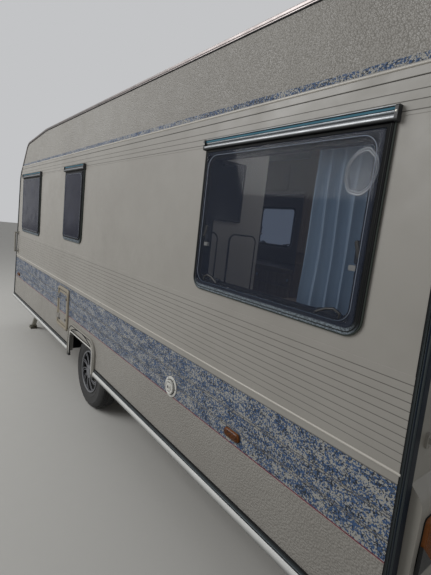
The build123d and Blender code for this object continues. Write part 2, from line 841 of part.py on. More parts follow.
with BuildPart() as hatch_surround:
    centre_plane = on_wall("left", hatch_start + hatch_width / 2, hatch_sill + hatch_height / 2)
    with BuildSketch(centre_plane):
        RectangleRounded(hatch_width, hatch_height, hatch_corner)
    extrude(amount=hatch_proud)
    with BuildSketch(centre_plane):
        Rectangle(hatch_width - hatch_border, hatch_height - hatch_border)
    extrude(amount=-wall_thickness - locker_depth)
    with BuildSketch(centre_plane.offset(hatch_proud)):
        RectangleRounded(hatch_leaf_width + 2 * panel_gap, hatch_leaf_height + 2 * panel_gap, 14)
    extrude(amount=-hatch_proud - wall_thickness - locker_depth + locker_skin, mode=Mode.SUBTRACT)
    for hinge_height in hatch_hinge_heights:
        hinge_pin(hatch_hinge_axis(hinge_height), hatch_hinge_knuckle, (16, -hatch_hinge_stand - 2))
hatch_surround.part.label = "service_locker"
export_step(hatch_surround.part, "parts/service_locker.step")

with BuildPart() as hatch_door:
    with BuildSketch(centre_plane.offset(hatch_door_proud)):
        RectangleRounded(hatch_leaf_width, hatch_leaf_height, 10)
    extrude(amount=-hatch_door_thickness)
    for hinge_height in hatch_hinge_heights:
        leaf_in = -hatch_hinge_out + hatch_door_proud - 3
        hinge_knuckle(hatch_hinge_axis(hinge_height), hatch_hinge_knuckle,
                      ((0, 4), (0, -4), (-panel_gap, leaf_in), (-34, leaf_in), (-34, leaf_in + 8), (-8, 4)))
    for lock_height in hatch_hinge_heights:
        lock_along = hatch_start + hatch_border + hatch_lock_inset
        with BuildSketch(on_wall("left", lock_along, lock_height, hatch_door_proud)):
            Circle(hatch_lock_radius)
        extrude(amount=hatch_lock_proud)
hatch_door.part.label = "service_hatch_door"
export_step(hatch_door.part, "parts/service_hatch_door.step")

# Gas locker

with BuildPart() as gas_box:
    gas_top = floor_underside + gas_sill + gas_height + gas_headroom
    gas_back = body_length - gas_depth
    with BuildSketch(lengthwise(gas_width / 2 + gas_skin)):
        Polygon((gas_back, floor_top), (body_length, floor_top), (body_length, gas_top),
                (gas_back, gas_top))
    extrude(amount=gas_width + 2 * gas_skin)
    with BuildSketch(lengthwise(gas_width / 2)):
        Polygon((gas_back + gas_skin, floor_top + gas_skin), (body_length, floor_top + gas_skin),
                (body_length, gas_top - gas_skin), (gas_back + gas_skin, gas_top - gas_skin))
    extrude(amount=gas_width, mode=Mode.SUBTRACT)
    with BuildSketch(lengthwise(inner_half)):
        body_outline()
        offset(amount=-shell_thickness)
    extrude(amount=2 * inner_half, mode=Mode.INTERSECT)
    # Raised tray that the bottles stand on, clear of the leaning wall
    tray_front = body_length - shell_thickness - 2 * gas_tray_margin
    box_between((gas_back + gas_skin + gas_tray_margin, gas_tray_margin - gas_width / 2, floor_top),
                (tray_front, gas_width / 2 - gas_tray_margin, floor_top + gas_skin + gas_tray))
gas_box.part.label = "gas_locker_box"
export_step(gas_box.part, "parts/gas_locker_box.step")

with BuildPart() as gas_lid:
    with BuildSketch(on_wall("front", 0, gas_sill + gas_height / 2)):
        RectangleRounded(gas_width - 2 * panel_gap, gas_height - 2 * panel_gap, gas_corner - panel_gap)
    extrude(amount=-gas_lid_thickness)
    for hinge_y in gas_hinge_sides:
        hinge_knuckle(gas_hinge_axis(hinge_y), gas_knuckle,
                      ((4, 0), (-4, 0), (-50, gas_hinge_stand - 6), (-50, gas_hinge_stand + 3),
                       (-gas_knuckle - panel_gap - 2, gas_hinge_stand + 3), (-gas_knuckle, gas_knuckle),
                       (0, 5)))
gas_lid.part.label = "gas_locker_lid"
export_step(gas_lid.part, "parts/gas_locker_lid.step")

# Roof hatches and vents

lid_hinge_out = hatch_lid_over + lid_hinge_stand


def roof_hinge_axis(hatch, y):
    """Plane across a roof hatch's hinge: sketch x away from the hatch, sketch y off the roof."""
    face = on_roof(hatch.centre, y, hatch_upstand + hatch_lid_gap - lid_hinge_drop)
    place = face.from_local_coords(Vector(hatch.hinge * (hatch.length / 2 + lid_hinge_out), 0, 0))
    return Plane(origin=place, x_dir=face.x_dir * hatch.hinge, z_dir=(0, -hatch.hinge, 0))


def roof_hinge_sides(hatch):
    """Places across the caravan of a roof hatch's two hinges."""
    return (hatch.side - hatch.width / 3, hatch.side + hatch.width / 3)


with BuildPart() as hatch_frames:
    for hatch in hatches:
        with BuildSketch(on_roof(hatch.centre, hatch.side, -shell_thickness)):
            Rectangle(hatch.length - 2 * hatch_band, hatch.width - 2 * hatch_band)
        extrude(amount=shell_thickness)
        with BuildSketch(on_roof(hatch.centre, hatch.side)):
            RectangleRounded(hatch.length, hatch.width, hatch_frame_corner)
        extrude(amount=hatch_upstand)
        with BuildSketch(on_roof(hatch.centre, hatch.side, -shell_thickness)):
            RectangleRounded(hatch.length - 4 * hatch_band, hatch.width - 4 * hatch_band,
                             hatch_frame_corner - hatch_band / 2)
        extrude(amount=shell_thickness + hatch_upstand, mode=Mode.SUBTRACT)
        for hinge_y in roof_hinge_sides(hatch):
            hinge_pin(roof_hinge_axis(hatch, hinge_y), lid_knuckle, (-lid_hinge_out - 3, 0))
hatch_frames.part.label = "roof_hatch_frames"
export_step(hatch_frames.part, "parts/roof_hatch_frames.step")

for hatch in hatches:
    lid_plane = on_roof(hatch.centre, hatch.side, hatch_upstand + hatch_lid_gap)
    lid_size = (hatch.length + 2 * hatch_lid_over, hatch.width + 2 * hatch_lid_over)
    with BuildPart() as hatch_lid:
        with BuildSketch(lid_plane):
            RectangleRounded(*lid_size, hatch_lid_corner)
        extrude(amount=hatch_lid_rim)
        with BuildSketch(lid_plane.offset(hatch_lid_rim)):
            RectangleRounded(*lid_size, hatch_lid_corner)
        extrude(amount=hatch_lid_thickness - hatch_lid_rim, taper=hatch_lid_taper)
        with BuildSketch(lid_plane):
            RectangleRounded(hatch.length - 2 * hatch_lid_over, hatch.width - 2 * hatch_lid_over,
                             hatch_lid_corner - 2 * hatch_lid_over)
        extrude(amount=hatch_lid_thickness - hatch_lid_skin - 12, mode=Mode.SUBTRACT)
        for hinge_y in roof_hinge_sides(hatch):
            hinge_knuckle(roof_hinge_axis(hatch, hinge_y), lid_knuckle,
                          ((4, 0), (-4, 0), (-16, lid_hinge_drop), (-16, lid_hinge_drop + 8),
                           (-8, lid_hinge_drop + 8), (4, 2)))
    hatch_lid.part.label = f"roof_hatch_lid_{hatch.name}"
    export_step(hatch_lid.part, f"parts/roof_hatch_lid_{hatch.name}.step")

# Roof vents: a base plate, a pipe and a cowl, by place along and across
with BuildPart() as roof_vents:
    for vent_length, vent_side in ((1770, -900), (3600, 880)):
        with BuildSketch(on_roof(vent_length, vent_side)):
            Circle(roof_vent_base)
        extrude(amount=roof_vent_plate)
        with BuildSketch(on_roof(vent_length, vent_side)):
            Circle(roof_vent_pipe)
        extrude(amount=roof_vent_height - roof_vent_cowl / 2)
        with BuildSketch(on_roof(vent_length, vent_side, roof_vent_height - roof_vent_cowl)):
            Circle(roof_vent_hood)
        extrude(amount=roof_vent_cowl, taper=20)
roof_vents.part.label = "roof_vents"
export_step(roof_vents.part, "parts/roof_vents.step")

# Fittings on the walls

with BuildPart() as fridge_vents:
    fridge_place = (tall_start + tall_end) / 2
    for vent_sill in vent_sills:
        with BuildSketch(on_wall("right", fridge_place, vent_sill + vent_height / 2)):
            RectangleRounded(vent_width, vent_height, vent_border * 0.7)
        extrude(amount=vent_proud)
        with BuildSketch(on_wall("right", fridge_place, vent_sill + vent_height / 2, vent_proud)):
            with GridLocations(0, vent_slot_pitch, 1, vent_slots):
                Rectangle(vent_width - 2 * vent_border, vent_slot_height)
        extrude(amount=vent_back - vent_proud, mode=Mode.SUBTRACT)
fridge_vents.part.label = "fridge_vents"
export_step(fridge_vents.part, "parts/fridge_vents.step")

# Grab handles: wall, place along the wall, height of the middle
Handle = namedtuple("Handle", "wall along middle")
handles = (
    Handle("left", 5240, 1178),
    Handle("right", 5240, 1178),
    Handle("rear", half_width - 90, 800),
    Handle("rear", -half_width + 90, 800),
)
with BuildPart() as grab_handles:
    for handle in handles:
        foot = on_wall(handle.wall, handle.along, handle.middle)
        for end in (-1, 1):
            foot_plane = on_wall(handle.wall, handle.along, handle.middle + end * handle_height / 2)
            with BuildSketch(foot_plane):
                RectangleRounded(34, 46, 12)
            extrude(amount=8)
            with BuildSketch(foot_plane):
                Circle(handle_radius * 0.8)
            extrude(amount=handle_stand)
        bar_plane = Plane(origin=foot.from_local_coords(Vector(0, 0, handle_stand)), x_dir=foot.x_dir,
                          z_dir=foot.y_dir)
        with BuildSketch(bar_plane):
            Circle(handle_radius)
        extrude(amount=handle_height / 2 + handle_radius, both=True)
grab_handles.part.label = "grab_handles"
export_step(grab_handles.part, "parts/grab_handles.step")

with BuildPart() as water_cap:
    with BuildSketch(on_wall("left", cap_place, cap_height)):
        Circle(cap_radius)
    extrude(amount=cap_proud / 3)
    with BuildSketch(on_wall("left", cap_place, cap_height)):
        Circle(cap_radius * 0.68)
    extrude(amount=cap_proud, taper=4)
water_cap.part.label = "water_cap"
export_step(water_cap.part, "parts/water_cap.step")

# Side markers: wall and place along it
with BuildPart() as side_markers:
    for wall, marker_place in (("left", 738), ("left", 5140), ("right", 738), ("right", 5140)):
        with BuildSketch(on_wall(wall, marker_place, 757)):
            RectangleRounded(marker_width, marker_height, 16)
        extrude(amount=marker_proud, taper=10)
side_markers.part.label = "side_markers"
export_step(side_markers.part, "parts/side_markers.step")

with BuildPart() as front_lamps:
    for lamp_y in (-half_width + 90, half_width - 90):
        with BuildSketch(on_wall("front", lamp_y, 420)):
            RectangleRounded(60, 100, 14)
        extrude(amount=22, taper=8)
front_lamps.part.label = "front_lamps"
export_step(front_lamps.part, "parts/front_lamps.step")

# Moulded rear panel that carries the lamps and the plate


def rear_face(height):
    """Length of the rear wall's outer face at a height."""
    return rear_lean * (height - floor_underside) / (roof_height - floor_underside)


def on_lamp_panel(y, height):
    """Plane on the rear panel's upright face."""
    return Plane(origin=(rear_x - lamp_panel_depth, y, height), x_dir=(0, -1, 0), z_dir=(-1, 0, 0))


panel_half = half_width - trim_over_roof - 2
panel_foot, panel_head = rear_face(lamp_panel_bottom), rear_face(lamp_panel_top)
with BuildPart() as lamp_panel:
    with BuildSketch(lengthwise(panel_half)):
        with BuildLine():
            FilletPolyline((panel_foot, lamp_panel_bottom), (-lamp_panel_depth, lamp_panel_bottom),
                           (-lamp_panel_depth, lamp_panel_top - lamp_panel_slope),
                           (panel_head, lamp_panel_top), radius=[10, 60])
            Line((panel_head, lamp_panel_top), (panel_foot, lamp_panel_bottom))
        make_face()
    extrude(amount=2 * panel_half)
    with BuildSketch(on_lamp_panel(0, plate_middle)):
        RectangleRounded(plate_width, plate_height, 8)
    extrude(amount=-plate_recess, mode=Mode.SUBTRACT)
lamp_panel.part.label = "rear_lamp_panel"
export_step(lamp_panel.part, "parts/rear_lamp_panel.step")

with BuildPart() as rear_lamps:
    for side, sign in sides:
        amber_width = lamp_width * lamp_amber_share
        red_width = lamp_width - amber_width - 2
        amber_y = half_width - lamp_inset - amber_width / 2
        red_y = half_width - lamp_inset - lamp_width + red_width / 2
        for lens_y, lens_width in ((amber_y, amber_width), (red_y, red_width)):
            with BuildSketch(on_lamp_panel(sign * lens_y, lamp_sill + lamp_height / 2)):
                RectangleRounded(lens_width, lamp_height, lamp_proud)
            extrude(amount=lamp_proud)
rear_lamps.part.label = "rear_lamps"
export_step(rear_lamps.part, "parts/rear_lamps.step")

# Chassis


def channel(length_from, length_to, y_from, y_to, opening):
    """Pressed channel between two points under the floor, its open side towards the opening's sign."""
    forward, aside = length_to - length_from, y_to - y_from
    run = hypot(forward, aside)
    start = Plane(origin=(rear_x + length_from, y_from, 0), x_dir=(-aside, forward, 0),
                  z_dir=(forward, aside, 0))
    flange, web = opening * beam_flange, opening * beam_wall
    with BuildSketch(start) as section:
        Polygon((0, beam_bottom), (0, beam_top), (flange, beam_top), (flange, beam_top - beam_wall),
                (web, beam_top - beam_wall), (web, beam_bottom + beam_wall),
                (flange, beam_bottom + beam_wall), (flange, beam_bottom))
    extrude(section.sketch, amount=run)


# Corner steadies. Heading is +1 where the leg leans forward.
Steady = namedtuple("Steady", "name place heading side")
steadies = (
    Steady("front_left", steady_front, 1, 1),
    Steady("front_right", steady_front, 1, -1),
    Steady("rear_left", steady_rear, -1, 1),
    Steady("rear_right", steady_rear, -1, -1),
)
steady_pivot_height = floor_underside - steady_pivot_drop
steady_slope = atan2(steady_pivot_height - steady_foot_height, steady_reach)
steady_run = hypot(steady_pivot_height - steady_foot_height, steady_reach)


def steady_point(steady, along, aside):
    """Point in side view, given along the leg from its pivot and aside of it, upwards positive."""
    place = steady.place + steady.heading * (along * cos(steady_slope) + aside * sin(steady_slope))
    return (place, steady_pivot_height - along * sin(steady_slope) + aside * cos(steady_slope))


with BuildPart() as chassis:
    for side, sign in sides:
        channel(beam_start, beam_end, sign * beam_offset, sign * beam_offset, -sign)
    for cross_place in cross_places:
        box_between((cross_place, -beam_offset + beam_wall, beam_top - 50),
                    (cross_place + beam_flange, beam_offset - beam_wall, beam_top - beam_wall))
    for steady in steadies:
        for end in (-1, 1):
            ear_middle = steady_width / 2 + steady_gap + steady_wall / 2
            ear_y = steady.side * steady_side + end * ear_middle + steady_wall / 2
            with BuildSketch(lengthwise(ear_y)):
                Polygon((steady.place - 34, floor_underside), (steady.place + 34, floor_underside),
                        (steady.place + 16, steady_pivot_height - 14),
                        (steady.place - 16, steady_pivot_height - 14))
            extrude(amount=steady_wall)
        pin_half = steady_width / 2 + steady_gap + steady_wall
        with BuildSketch(lengthwise(steady.side * steady_side + pin_half)):
            with Locations((steady.place, steady_pivot_height)):
                Circle(steady_pin_radius)
        extrude(amount=2 * pin_half)
chassis.part.label = "chassis_beams"
export_step(chassis.part, "parts/chassis_beams.step")

with BuildPart() as drawbar:
    for side, sign in sides:
        channel(drawbar_start, drawbar_end, sign * drawbar_spread, sign * drawbar_pinch, -sign)
        with BuildSketch(level(beam_bottom)):
            Polygon((drawbar_start, sign * (drawbar_spread - 10)),
                    (drawbar_start + drawbar_lug, sign * (drawbar_spread - 10)),
                    (drawbar_start + drawbar_lug, sign * (beam_offset - beam_flange)),
                    (drawbar_start, sign * (beam_offset - beam_flange)))
        extrude(amount=beam_height)
drawbar.part.label = "drawbar"
export_step(drawbar.part, "parts/drawbar.step")

# Axle with its trailing arms, backplates and spindles
arm_side = wheel_side - tyre_width / 2 - arm_thickness - 10
with BuildPart() as axle:
    with BuildSketch(lengthwise(arm_side + arm_thickness)):
        with Locations((axle_place + axle_lead, axle_tube_height)):
            RegularPolygon(axle_tube_radius, 6)
    extrude(amount=2 * (arm_side + arm_thickness))
    for side, sign in sides:
        plate_low, plate_high = sorted((sign * (beam_offset - 60), sign * (beam_offset + 60)))
        box_between((axle_place + axle_lead - 90, plate_low, axle_tube_height + 20),
                    (axle_place + axle_lead + 90, plate_high, beam_bottom))
        arm_y = arm_side + arm_thickness if sign > 0 else -arm_side
        with BuildSketch(lengthwise(arm_y)):
            with Locations((axle_place, tyre_radius)):
                Circle(42)
            with Locations((axle_place + axle_lead, axle_tube_height)):
                Circle(52)
            Polygon((axle_place - 6, tyre_radius + 42),
                    (axle_place + axle_lead + 12, axle_tube_height + 50),
                    (axle_place + axle_lead - 12, axle_tube_height - 50), (axle_place - 6, tyre_radius - 42))
        extrude(amount=arm_thickness)
        plate_y = arm_side + arm_thickness
        with BuildSketch(lengthwise(plate_y + backplate_thickness if sign > 0 else -plate_y)):
            with Locations((axle_place, tyre_radius)):
                Circle(drum_radius + 4)
        extrude(amount=backplate_thickness)
        spindle_length = drum_width + backplate_thickness
        with BuildSketch(lengthwise(plate_y + spindle_length if sign > 0 else -plate_y)):
            with Locations((axle_place, tyre_radius)):
                Circle(spindle_radius)
        extrude(amount=spindle_length)
axle.part.label = "axle"
export_step(axle.part, "parts/axle.step")

# Wheels. Each is drawn as a section, sketch x across the caravan from the wheel's middle, and turned.
for side, sign in sides:
    wheel_plane = Plane(origin=(rear_x + axle_place, sign * wheel_side, tyre_radius), x_dir=(0, sign, 0),
                        z_dir=(1, 0, 0))
    spin = Axis(wheel_plane.origin, (0, 1, 0))
    half_tyre = tyre_width / 2
    half_rim = rim_width / 2
    bead = rim_skin + 0.5
    with BuildPart() as tyre:
        with BuildSketch(wheel_plane):
            with BuildLine():
                FilletPolyline((-half_rim + bead, rim_radius), (-half_rim + bead, rim_radius + 18),
                               (-half_tyre, rim_radius + 54), (-half_tyre, tyre_radius),
                               (half_tyre, tyre_radius), (half_tyre, rim_radius + 54),
                               (half_rim - bead, rim_radius + 18), (half_rim - bead, rim_radius),
                               radius=[8, 30, tyre_shoulder, tyre_shoulder, 30, 8])
                Line((half_rim - bead, rim_radius), (-half_rim + bead, rim_radius))
            make_face()
        revolve(axis=spin)
    tyre.part.label = f"tyre_{side}"
    export_step(tyre.part, f"parts/tyre_{side}.step")

    drum_inner = -half_tyre - 10 + backplate_thickness + 2
    drum_outer = drum_inner + drum_width
    dish_back, dish_face = drum_outer + rim_dish, drum_outer + rim_dish + rim_plate
    with BuildPart() as rim:
        with BuildSketch(wheel_plane):
            Polygon((-half_rim, rim_radius + 14), (-half_rim, rim_radius - rim_skin),
                    (half_rim, rim_radius - rim_skin), (half_rim, rim_radius + 14),
                    (half_rim - rim_skin, rim_radius + 14), (half_rim - rim_skin, rim_radius),
                    (-half_rim + rim_skin, rim_radius), (-half_rim + rim_skin, rim_radius + 14))
            Polygon((drum_outer, hub_radius + 1), (drum_outer, hub_radius + 50),
                    (dish_back, rim_radius - 30), (dish_back, rim_radius - rim_skin / 2),
                    (dish_face, rim_radius - rim_skin / 2), (dish_face, rim_radius - 34),
                    (drum_outer + rim_plate, hub_radius + 46), (drum_outer + rim_plate, hub_radius + 1))
        revolve(axis=spin)
        with BuildSketch(Plane(origin=wheel_plane.origin, x_dir=(1, 0, 0), z_dir=(0, 1, 0))):
            with PolarLocations(rim_window_middle, rim_windows):
                Trapezoid(rim_window_width, rim_window_length, rim_window_side, rotation=90)
            fillet(vertices(), radius=rim_window_corner)
        extrude(amount=rim_width, both=True, mode=Mode.SUBTRACT)
        with BuildSketch(wheel_plane):
            Polygon((drum_inner, spindle_radius + spindle_clearance), (drum_inner, drum_radius),
                    (drum_outer, drum_radius), (drum_outer, hub_radius + 1),
                    (drum_outer + 30, hub_radius - 8),
                    (drum_outer + 30, spindle_radius + spindle_clearance))
        revolve(axis=spin)
    rim.part.label = f"rim_{side}"
    export_step(rim.part, f"parts/rim_{side}.step")

# Overrun coupling on the drawbar's tip
housing_start = drawbar_end - 150
housing_end = housing_start + housing_length
with BuildPart() as overrun:
    with BuildSketch(lengthwise(housing_width / 2)):
        with BuildLine():
            FilletPolyline((housing_start, beam_top + 8), (housing_start + 40, beam_top + housing_height),
                           (housing_end, beam_top + housing_height - 10), (housing_end, beam_top + 8),
                           radius=[30, 20])
            Line((housing_end, beam_top + 8), (housing_start, beam_top + 8))
        make_face()
    extrude(amount=housing_width)
    with BuildSketch(level(beam_top)):
        Polygon((housing_start - 60, -drawbar_pinch - 40), (housing_end, -drawbar_pinch - 10),
                (housing_end, drawbar_pinch + 10), (housing_start - 60, drawbar_pinch + 40))
    extrude(amount=8)
    with BuildSketch(across(housing_end)):
        with Locations((0, shaft_height)):
            Circle(shaft_radius)
    extrude(amount=ball_place - shaft_stop - housing_end)
overrun.part.label = "overrun_housing"
export_step(overrun.part, "parts/overrun_housing.step")

with BuildPart() as bellows:
    fold = bellows_length / bellows_folds
    with BuildSketch(lengthwise(0)):
        bellows_points = [(housing_end, shaft_height + shaft_radius)]
        for turn in range(bellows_folds):
            bellows_points += [(housing_end + fold * turn, shaft_height + bellows_radius - 12),
                               (housing_end + fold * (turn + 0.5), shaft_height + bellows_radius)]
        bellows_points += [(housing_end + bellows_length, shaft_height + bellows_radius - 12),
                           (housing_end + bellows_length, shaft_height + shaft_radius)]
        Polygon(*bellows_points)
    revolve(axis=Axis((rear_x, 0, shaft_height), (1, 0, 0)))
bellows.part.label = "bellows"
export_step(bellows.part, "parts/bellows.step")

socket_radius = ball_radius + ball_clearance
coupling_start = housing_end + bellows_length
with BuildPart() as coupling:
    with BuildSketch(lengthwise(coupling_width / 2)):
        with BuildLine():
            FilletPolyline((coupling_start, shaft_height - 34), (coupling_start, shaft_height + 34),
                           (ball_place - 30, shaft_height + 34), (coupling_nose, ball_height + 30),
                           (coupling_nose, ball_height - 22), (ball_place - 50, ball_height - 22),
                           (ball_place - 80, shaft_height - 34), radius=[10, 20, 26, 8, 10])
            Line((ball_place - 80, shaft_height - 34), (coupling_start, shaft_height - 34))
        make_face()
    extrude(amount=coupling_width)
    with BuildSketch(level(ball_height - 22)):
        with Locations((ball_place, 0)):
            Circle(socket_radius)
    extrude(amount=22, mode=Mode.SUBTRACT)
    with Locations((rear_x + ball_place, 0, ball_height)):
        Sphere(socket_radius, mode=Mode.SUBTRACT)
    with BuildSketch(across(coupling_start)):
        with Locations((0, shaft_height)):
            Circle(shaft_radius)
    extrude(amount=ball_place - shaft_stop - coupling_start, mode=Mode.SUBTRACT)
    with BuildSketch(lengthwise(14)):
        with BuildLine():
            FilletPolyline((ball_place - 60, shaft_height + 30), (ball_place - 20, shaft_height + 78),
                           (coupling_start + 10, shaft_height + 92),
                           (coupling_start + 6, shaft_height + 80), (ball_place - 60, shaft_height + 62),
                           (ball_place - 100, shaft_height + 30),
                           radius=[14, 5, 5, 14])
            Line((ball_place - 100, shaft_height + 30), (ball_place - 60, shaft_height + 30))
        make_face()
    extrude(amount=28)
coupling.part.label = "coupling_head"
export_step(coupling.part, "parts/coupling_head.step")

lever_side = housing_width / 2
with BuildPart() as brake_lever:
    with BuildSketch(lengthwise(lever_side + 14)):
        with BuildLine():
            FilletPolyline((housing_start + 90, beam_top + 60), (housing_start + 130, beam_top + 60),
                           (housing_start + 250, beam_top + 190), (housing_start + 430, beam_top + 300),
                           (housing_start + 412, beam_top + 326), (housing_start + 220, beam_top + 210),
                           radius=[14, 60, 12, 12])
            Line((housing_start + 220, beam_top + 210), (housing_start + 90, beam_top + 60))
        make_face()
    extrude(amount=14)
brake_lever.part.label = "handbrake_lever"
export_step(brake_lever.part, "parts/handbrake_lever.step")

# Jockey wheel: clamped tube, sliding leg, swivelling fork and wheel
jockey_plane = Plane(origin=(rear_x + jockey_place, jockey_side, 0), x_dir=(1, 0, 0), z_dir=(0, 0, 1))
leg_radius = jockey_tube_radius - jockey_tube_wall - jockey_slack
with BuildPart() as jockey_clamp:
    with BuildSketch(jockey_plane.offset(jockey_tube_bottom)):
        Circle(jockey_tube_radius)
        Circle(jockey_tube_radius - jockey_tube_wall, mode=Mode.SUBTRACT)
    extrude(amount=jockey_tube_top - jockey_tube_bottom)
    with BuildSketch(jockey_plane.offset(beam_top + 14)):
        Circle(jockey_tube_radius + 9)
        clamp_reach = -jockey_side - housing_width / 2
        Polygon((-24, 0), (24, 0), (24, clamp_reach), (-24, clamp_reach))
        Circle(jockey_tube_radius, mode=Mode.SUBTRACT)
    extrude(amount=58)
    with BuildSketch(jockey_plane.offset(jockey_tube_top)):
        Circle(jockey_tube_radius)
    extrude(amount=16)
    with BuildSketch(jockey_plane.offset(jockey_tube_top + 16)):
        Circle(9)
    extrude(amount=26)
    with BuildSketch(jockey_plane.offset(jockey_tube_top + 42)):
        SlotCenterToCenter(120, 20)
    extrude(amount=8)
    with BuildSketch(jockey_plane.offset(jockey_tube_top + 50)):
        with Locations((60, 0)):
            Circle(12)
    extrude(amount=70)
jockey_clamp.part.label = "jockey_tube"
export_step(jockey_clamp.part, "parts/jockey_tube.step")

with BuildPart() as jockey_leg:
    with BuildSketch(jockey_plane.offset(jockey_leg_bottom)):
        Circle(leg_radius)
    extrude(amount=jockey_leg_top - jockey_leg_bottom)
    with BuildSketch(jockey_plane.offset(jockey_leg_bottom)):
        Circle(jockey_stem_radius + jockey_slack)
    extrude(amount=jockey_stem_length + 4, mode=Mode.SUBTRACT)
jockey_leg.part.label = "jockey_leg"
export_step(jockey_leg.part, "parts/jockey_leg.step")

jockey_hub = Plane(origin=(rear_x + jockey_place - jockey_trail, jockey_side, jockey_wheel_radius),
                   x_dir=(1, 0, 0), z_dir=(0, 1, 0))
fork_top = jockey_leg_bottom - 1
fork_half = jockey_wheel_width / 2 + fork_gap
with BuildPart() as jockey_fork:
    with BuildSketch(jockey_plane.offset(fork_top - fork_plate)):
        with Locations((-jockey_trail / 2, 0)):
            RectangleRounded(jockey_trail + 60, 2 * (fork_half + fork_plate), 12)
    extrude(amount=fork_plate)
    with BuildSketch(jockey_plane.offset(fork_top)):
        Circle(jockey_stem_radius)
    extrude(amount=jockey_stem_length)
    for end in (-1, 1):
        with BuildSketch(jockey_hub.offset(end * fork_half)):
            Circle(18)
            Polygon((-16, 0), (16, 0), (jockey_trail + 12, -(fork_top - jockey_wheel_radius - 2)),
                    (-14, -(fork_top - jockey_wheel_radius - 2)))
        extrude(amount=end * fork_plate)
    with BuildSketch(jockey_hub):
        Circle(jockey_axle_radius)
    extrude(amount=fork_half + 1, both=True)
jockey_fork.part.label = "jockey_fork"
export_step(jockey_fork.part, "parts/jockey_fork.step")

with BuildPart() as jockey_wheel:
    with BuildSketch(jockey_hub):
        Circle(jockey_wheel_radius)
    extrude(amount=jockey_wheel_width / 2, both=True)
    fillet(jockey_wheel.edges().filter_by(GeomType.CIRCLE), radius=14)
    for end in (-1, 1):
        with BuildSketch(jockey_hub.offset(end * jockey_wheel_width / 2)):
            Circle(jockey_wheel_radius * 0.66)
            Circle(26, mode=Mode.SUBTRACT)
        extrude(amount=-end * 12, mode=Mode.SUBTRACT)
    with BuildSketch(jockey_hub):
        Circle(jockey_axle_radius + jockey_slack)
    extrude(amount=jockey_wheel_width, both=True, mode=Mode.SUBTRACT)
jockey_wheel.part.label = "jockey_wheel"
export_step(jockey_wheel.part, "parts/jockey_wheel.step")

# Corner steadies
for steady in steadies:
    with BuildPart() as steady_leg:
        half_depth = steady_depth / 2
        foot_end = steady_run - half_depth
        with BuildSketch(lengthwise(steady.side * steady_side + steady_width / 2)):
            with Locations((steady.place, steady_pivot_height)):
                Circle(half_depth)
            Polygon(steady_point(steady, 0, half_depth), steady_point(steady, foot_end, half_depth),
                    steady_point(steady, foot_end, -half_depth), steady_point(steady, 0, -half_depth))
        extrude(amount=steady_width)
        with BuildSketch(lengthwise(steady.side * steady_side + steady_width / 2 - steady_wall)):
            Polygon(steady_point(steady, 40, half_depth + 1),
                    steady_point(steady, foot_end - 20, half_depth + 1),
                    steady_point(steady, foot_end - 20, -half_depth + steady_wall),
                    steady_point(steady, 40, -half_depth + steady_wall))
        extrude(amount=steady_width - 2 * steady_wall, mode=Mode.SUBTRACT)
        foot_centre = steady.place + steady.heading * (steady_reach - 6)
        with BuildSketch(lengthwise(steady.side * steady_side + 42)):
            pad_top = steady_foot_height + 10
            neck_top = steady_foot_height + 44
            Polygon((foot_centre - 50, steady_foot_height), (foot_centre + 50, steady_foot_height),
                    (foot_centre + 44, pad_top), (foot_centre + 16, neck_top), (foot_centre - 16, neck_top),
                    (foot_centre - 44, pad_top))
        extrude(amount=84)
        with BuildSketch(lengthwise(steady.side * steady_side + steady_width)):
            with Locations((steady.place, steady_pivot_height)):
                Circle(steady_pin_radius + pin_clearance)
        extrude(amount=2 * steady_width, mode=Mode.SUBTRACT)
    steady_leg.part.label = f"steady_{steady.name}"
    export_step(steady_leg.part, f"parts/steady_{steady.name}.step")

# Furniture seen through the windows
bench_top = floor_top + bench_height
cushion_top = bench_top + cushion_thickness
bench_side = inner_half - wall_gap
bench_inner = bench_side - bench_depth

with BuildPart() as seat_bases:
    box_between((rear_inside, -bench_side, floor_top), (rear_inside + bench_depth, bench_side, bench_top))
    cut_between((rear_inside + board, -bench_side + board, floor_top),
                (rear_inside + bench_depth - board, bench_side - board, bench_top - board))
    for side, sign in sides:
        near, far = sorted((sign * bench_inner, sign * bench_side))
        box_between((rear_inside + bench_depth, near, floor_top), (bench_front, far, bench_top))
        cut_between((rear_inside + bench_depth, near + board, floor_top),
                    (bench_front - board, far - board, bench_top - board))
    box_between((bed_start, -bench_side, floor_top), (bed_end, bench_side, bench_top))
    cut_between((bed_start + board, -bench_side + board, floor_top),
                (bed_end - board, bench_side - board, bench_top - board))
seat_bases.part.label = "seat_bases"
export_step(seat_bases.part, "parts/seat_bases.step")

# Cushions: start, stop along, y from and to, bottom and top. Each lies a small gap inside its room.
Cushion = namedtuple("Cushion", "start stop low high bottom top")
back_top = cushion_top + back_height
bench_back = rear_inside + bench_depth
seat_side = bench_side - back_thickness
cushions = (
    Cushion(rear_inside + back_thickness, bench_back, -bench_side, bench_side, bench_top, cushion_top),
    Cushion(bench_back, bench_front, bench_inner, seat_side, bench_top, cushion_top),
    Cushion(bench_back, bench_front, -seat_side, -bench_inner, bench_top, cushion_top),
    Cushion(rear_inside, rear_inside + back_thickness, -seat_side, seat_side, bench_top, back_top),
    Cushion(bench_back, bench_front, seat_side, bench_side, bench_top, back_top),
    Cushion(bench_back, bench_front, -bench_side, -seat_side, bench_top, back_top),
    Cushion(bed_start, bed_end, -bench_side, bench_side, bench_top, cushion_top),
)
with BuildPart() as cushion_set:
    for cushion in cushions:
        box_between((cushion.start + pad_gap, cushion.low + pad_gap, cushion.bottom),
                    (cushion.stop - pad_gap, cushion.high - pad_gap, cushion.top))
cushion_set.part.label = "cushions"
export_step(cushion_set.part, "parts/cushions.step")

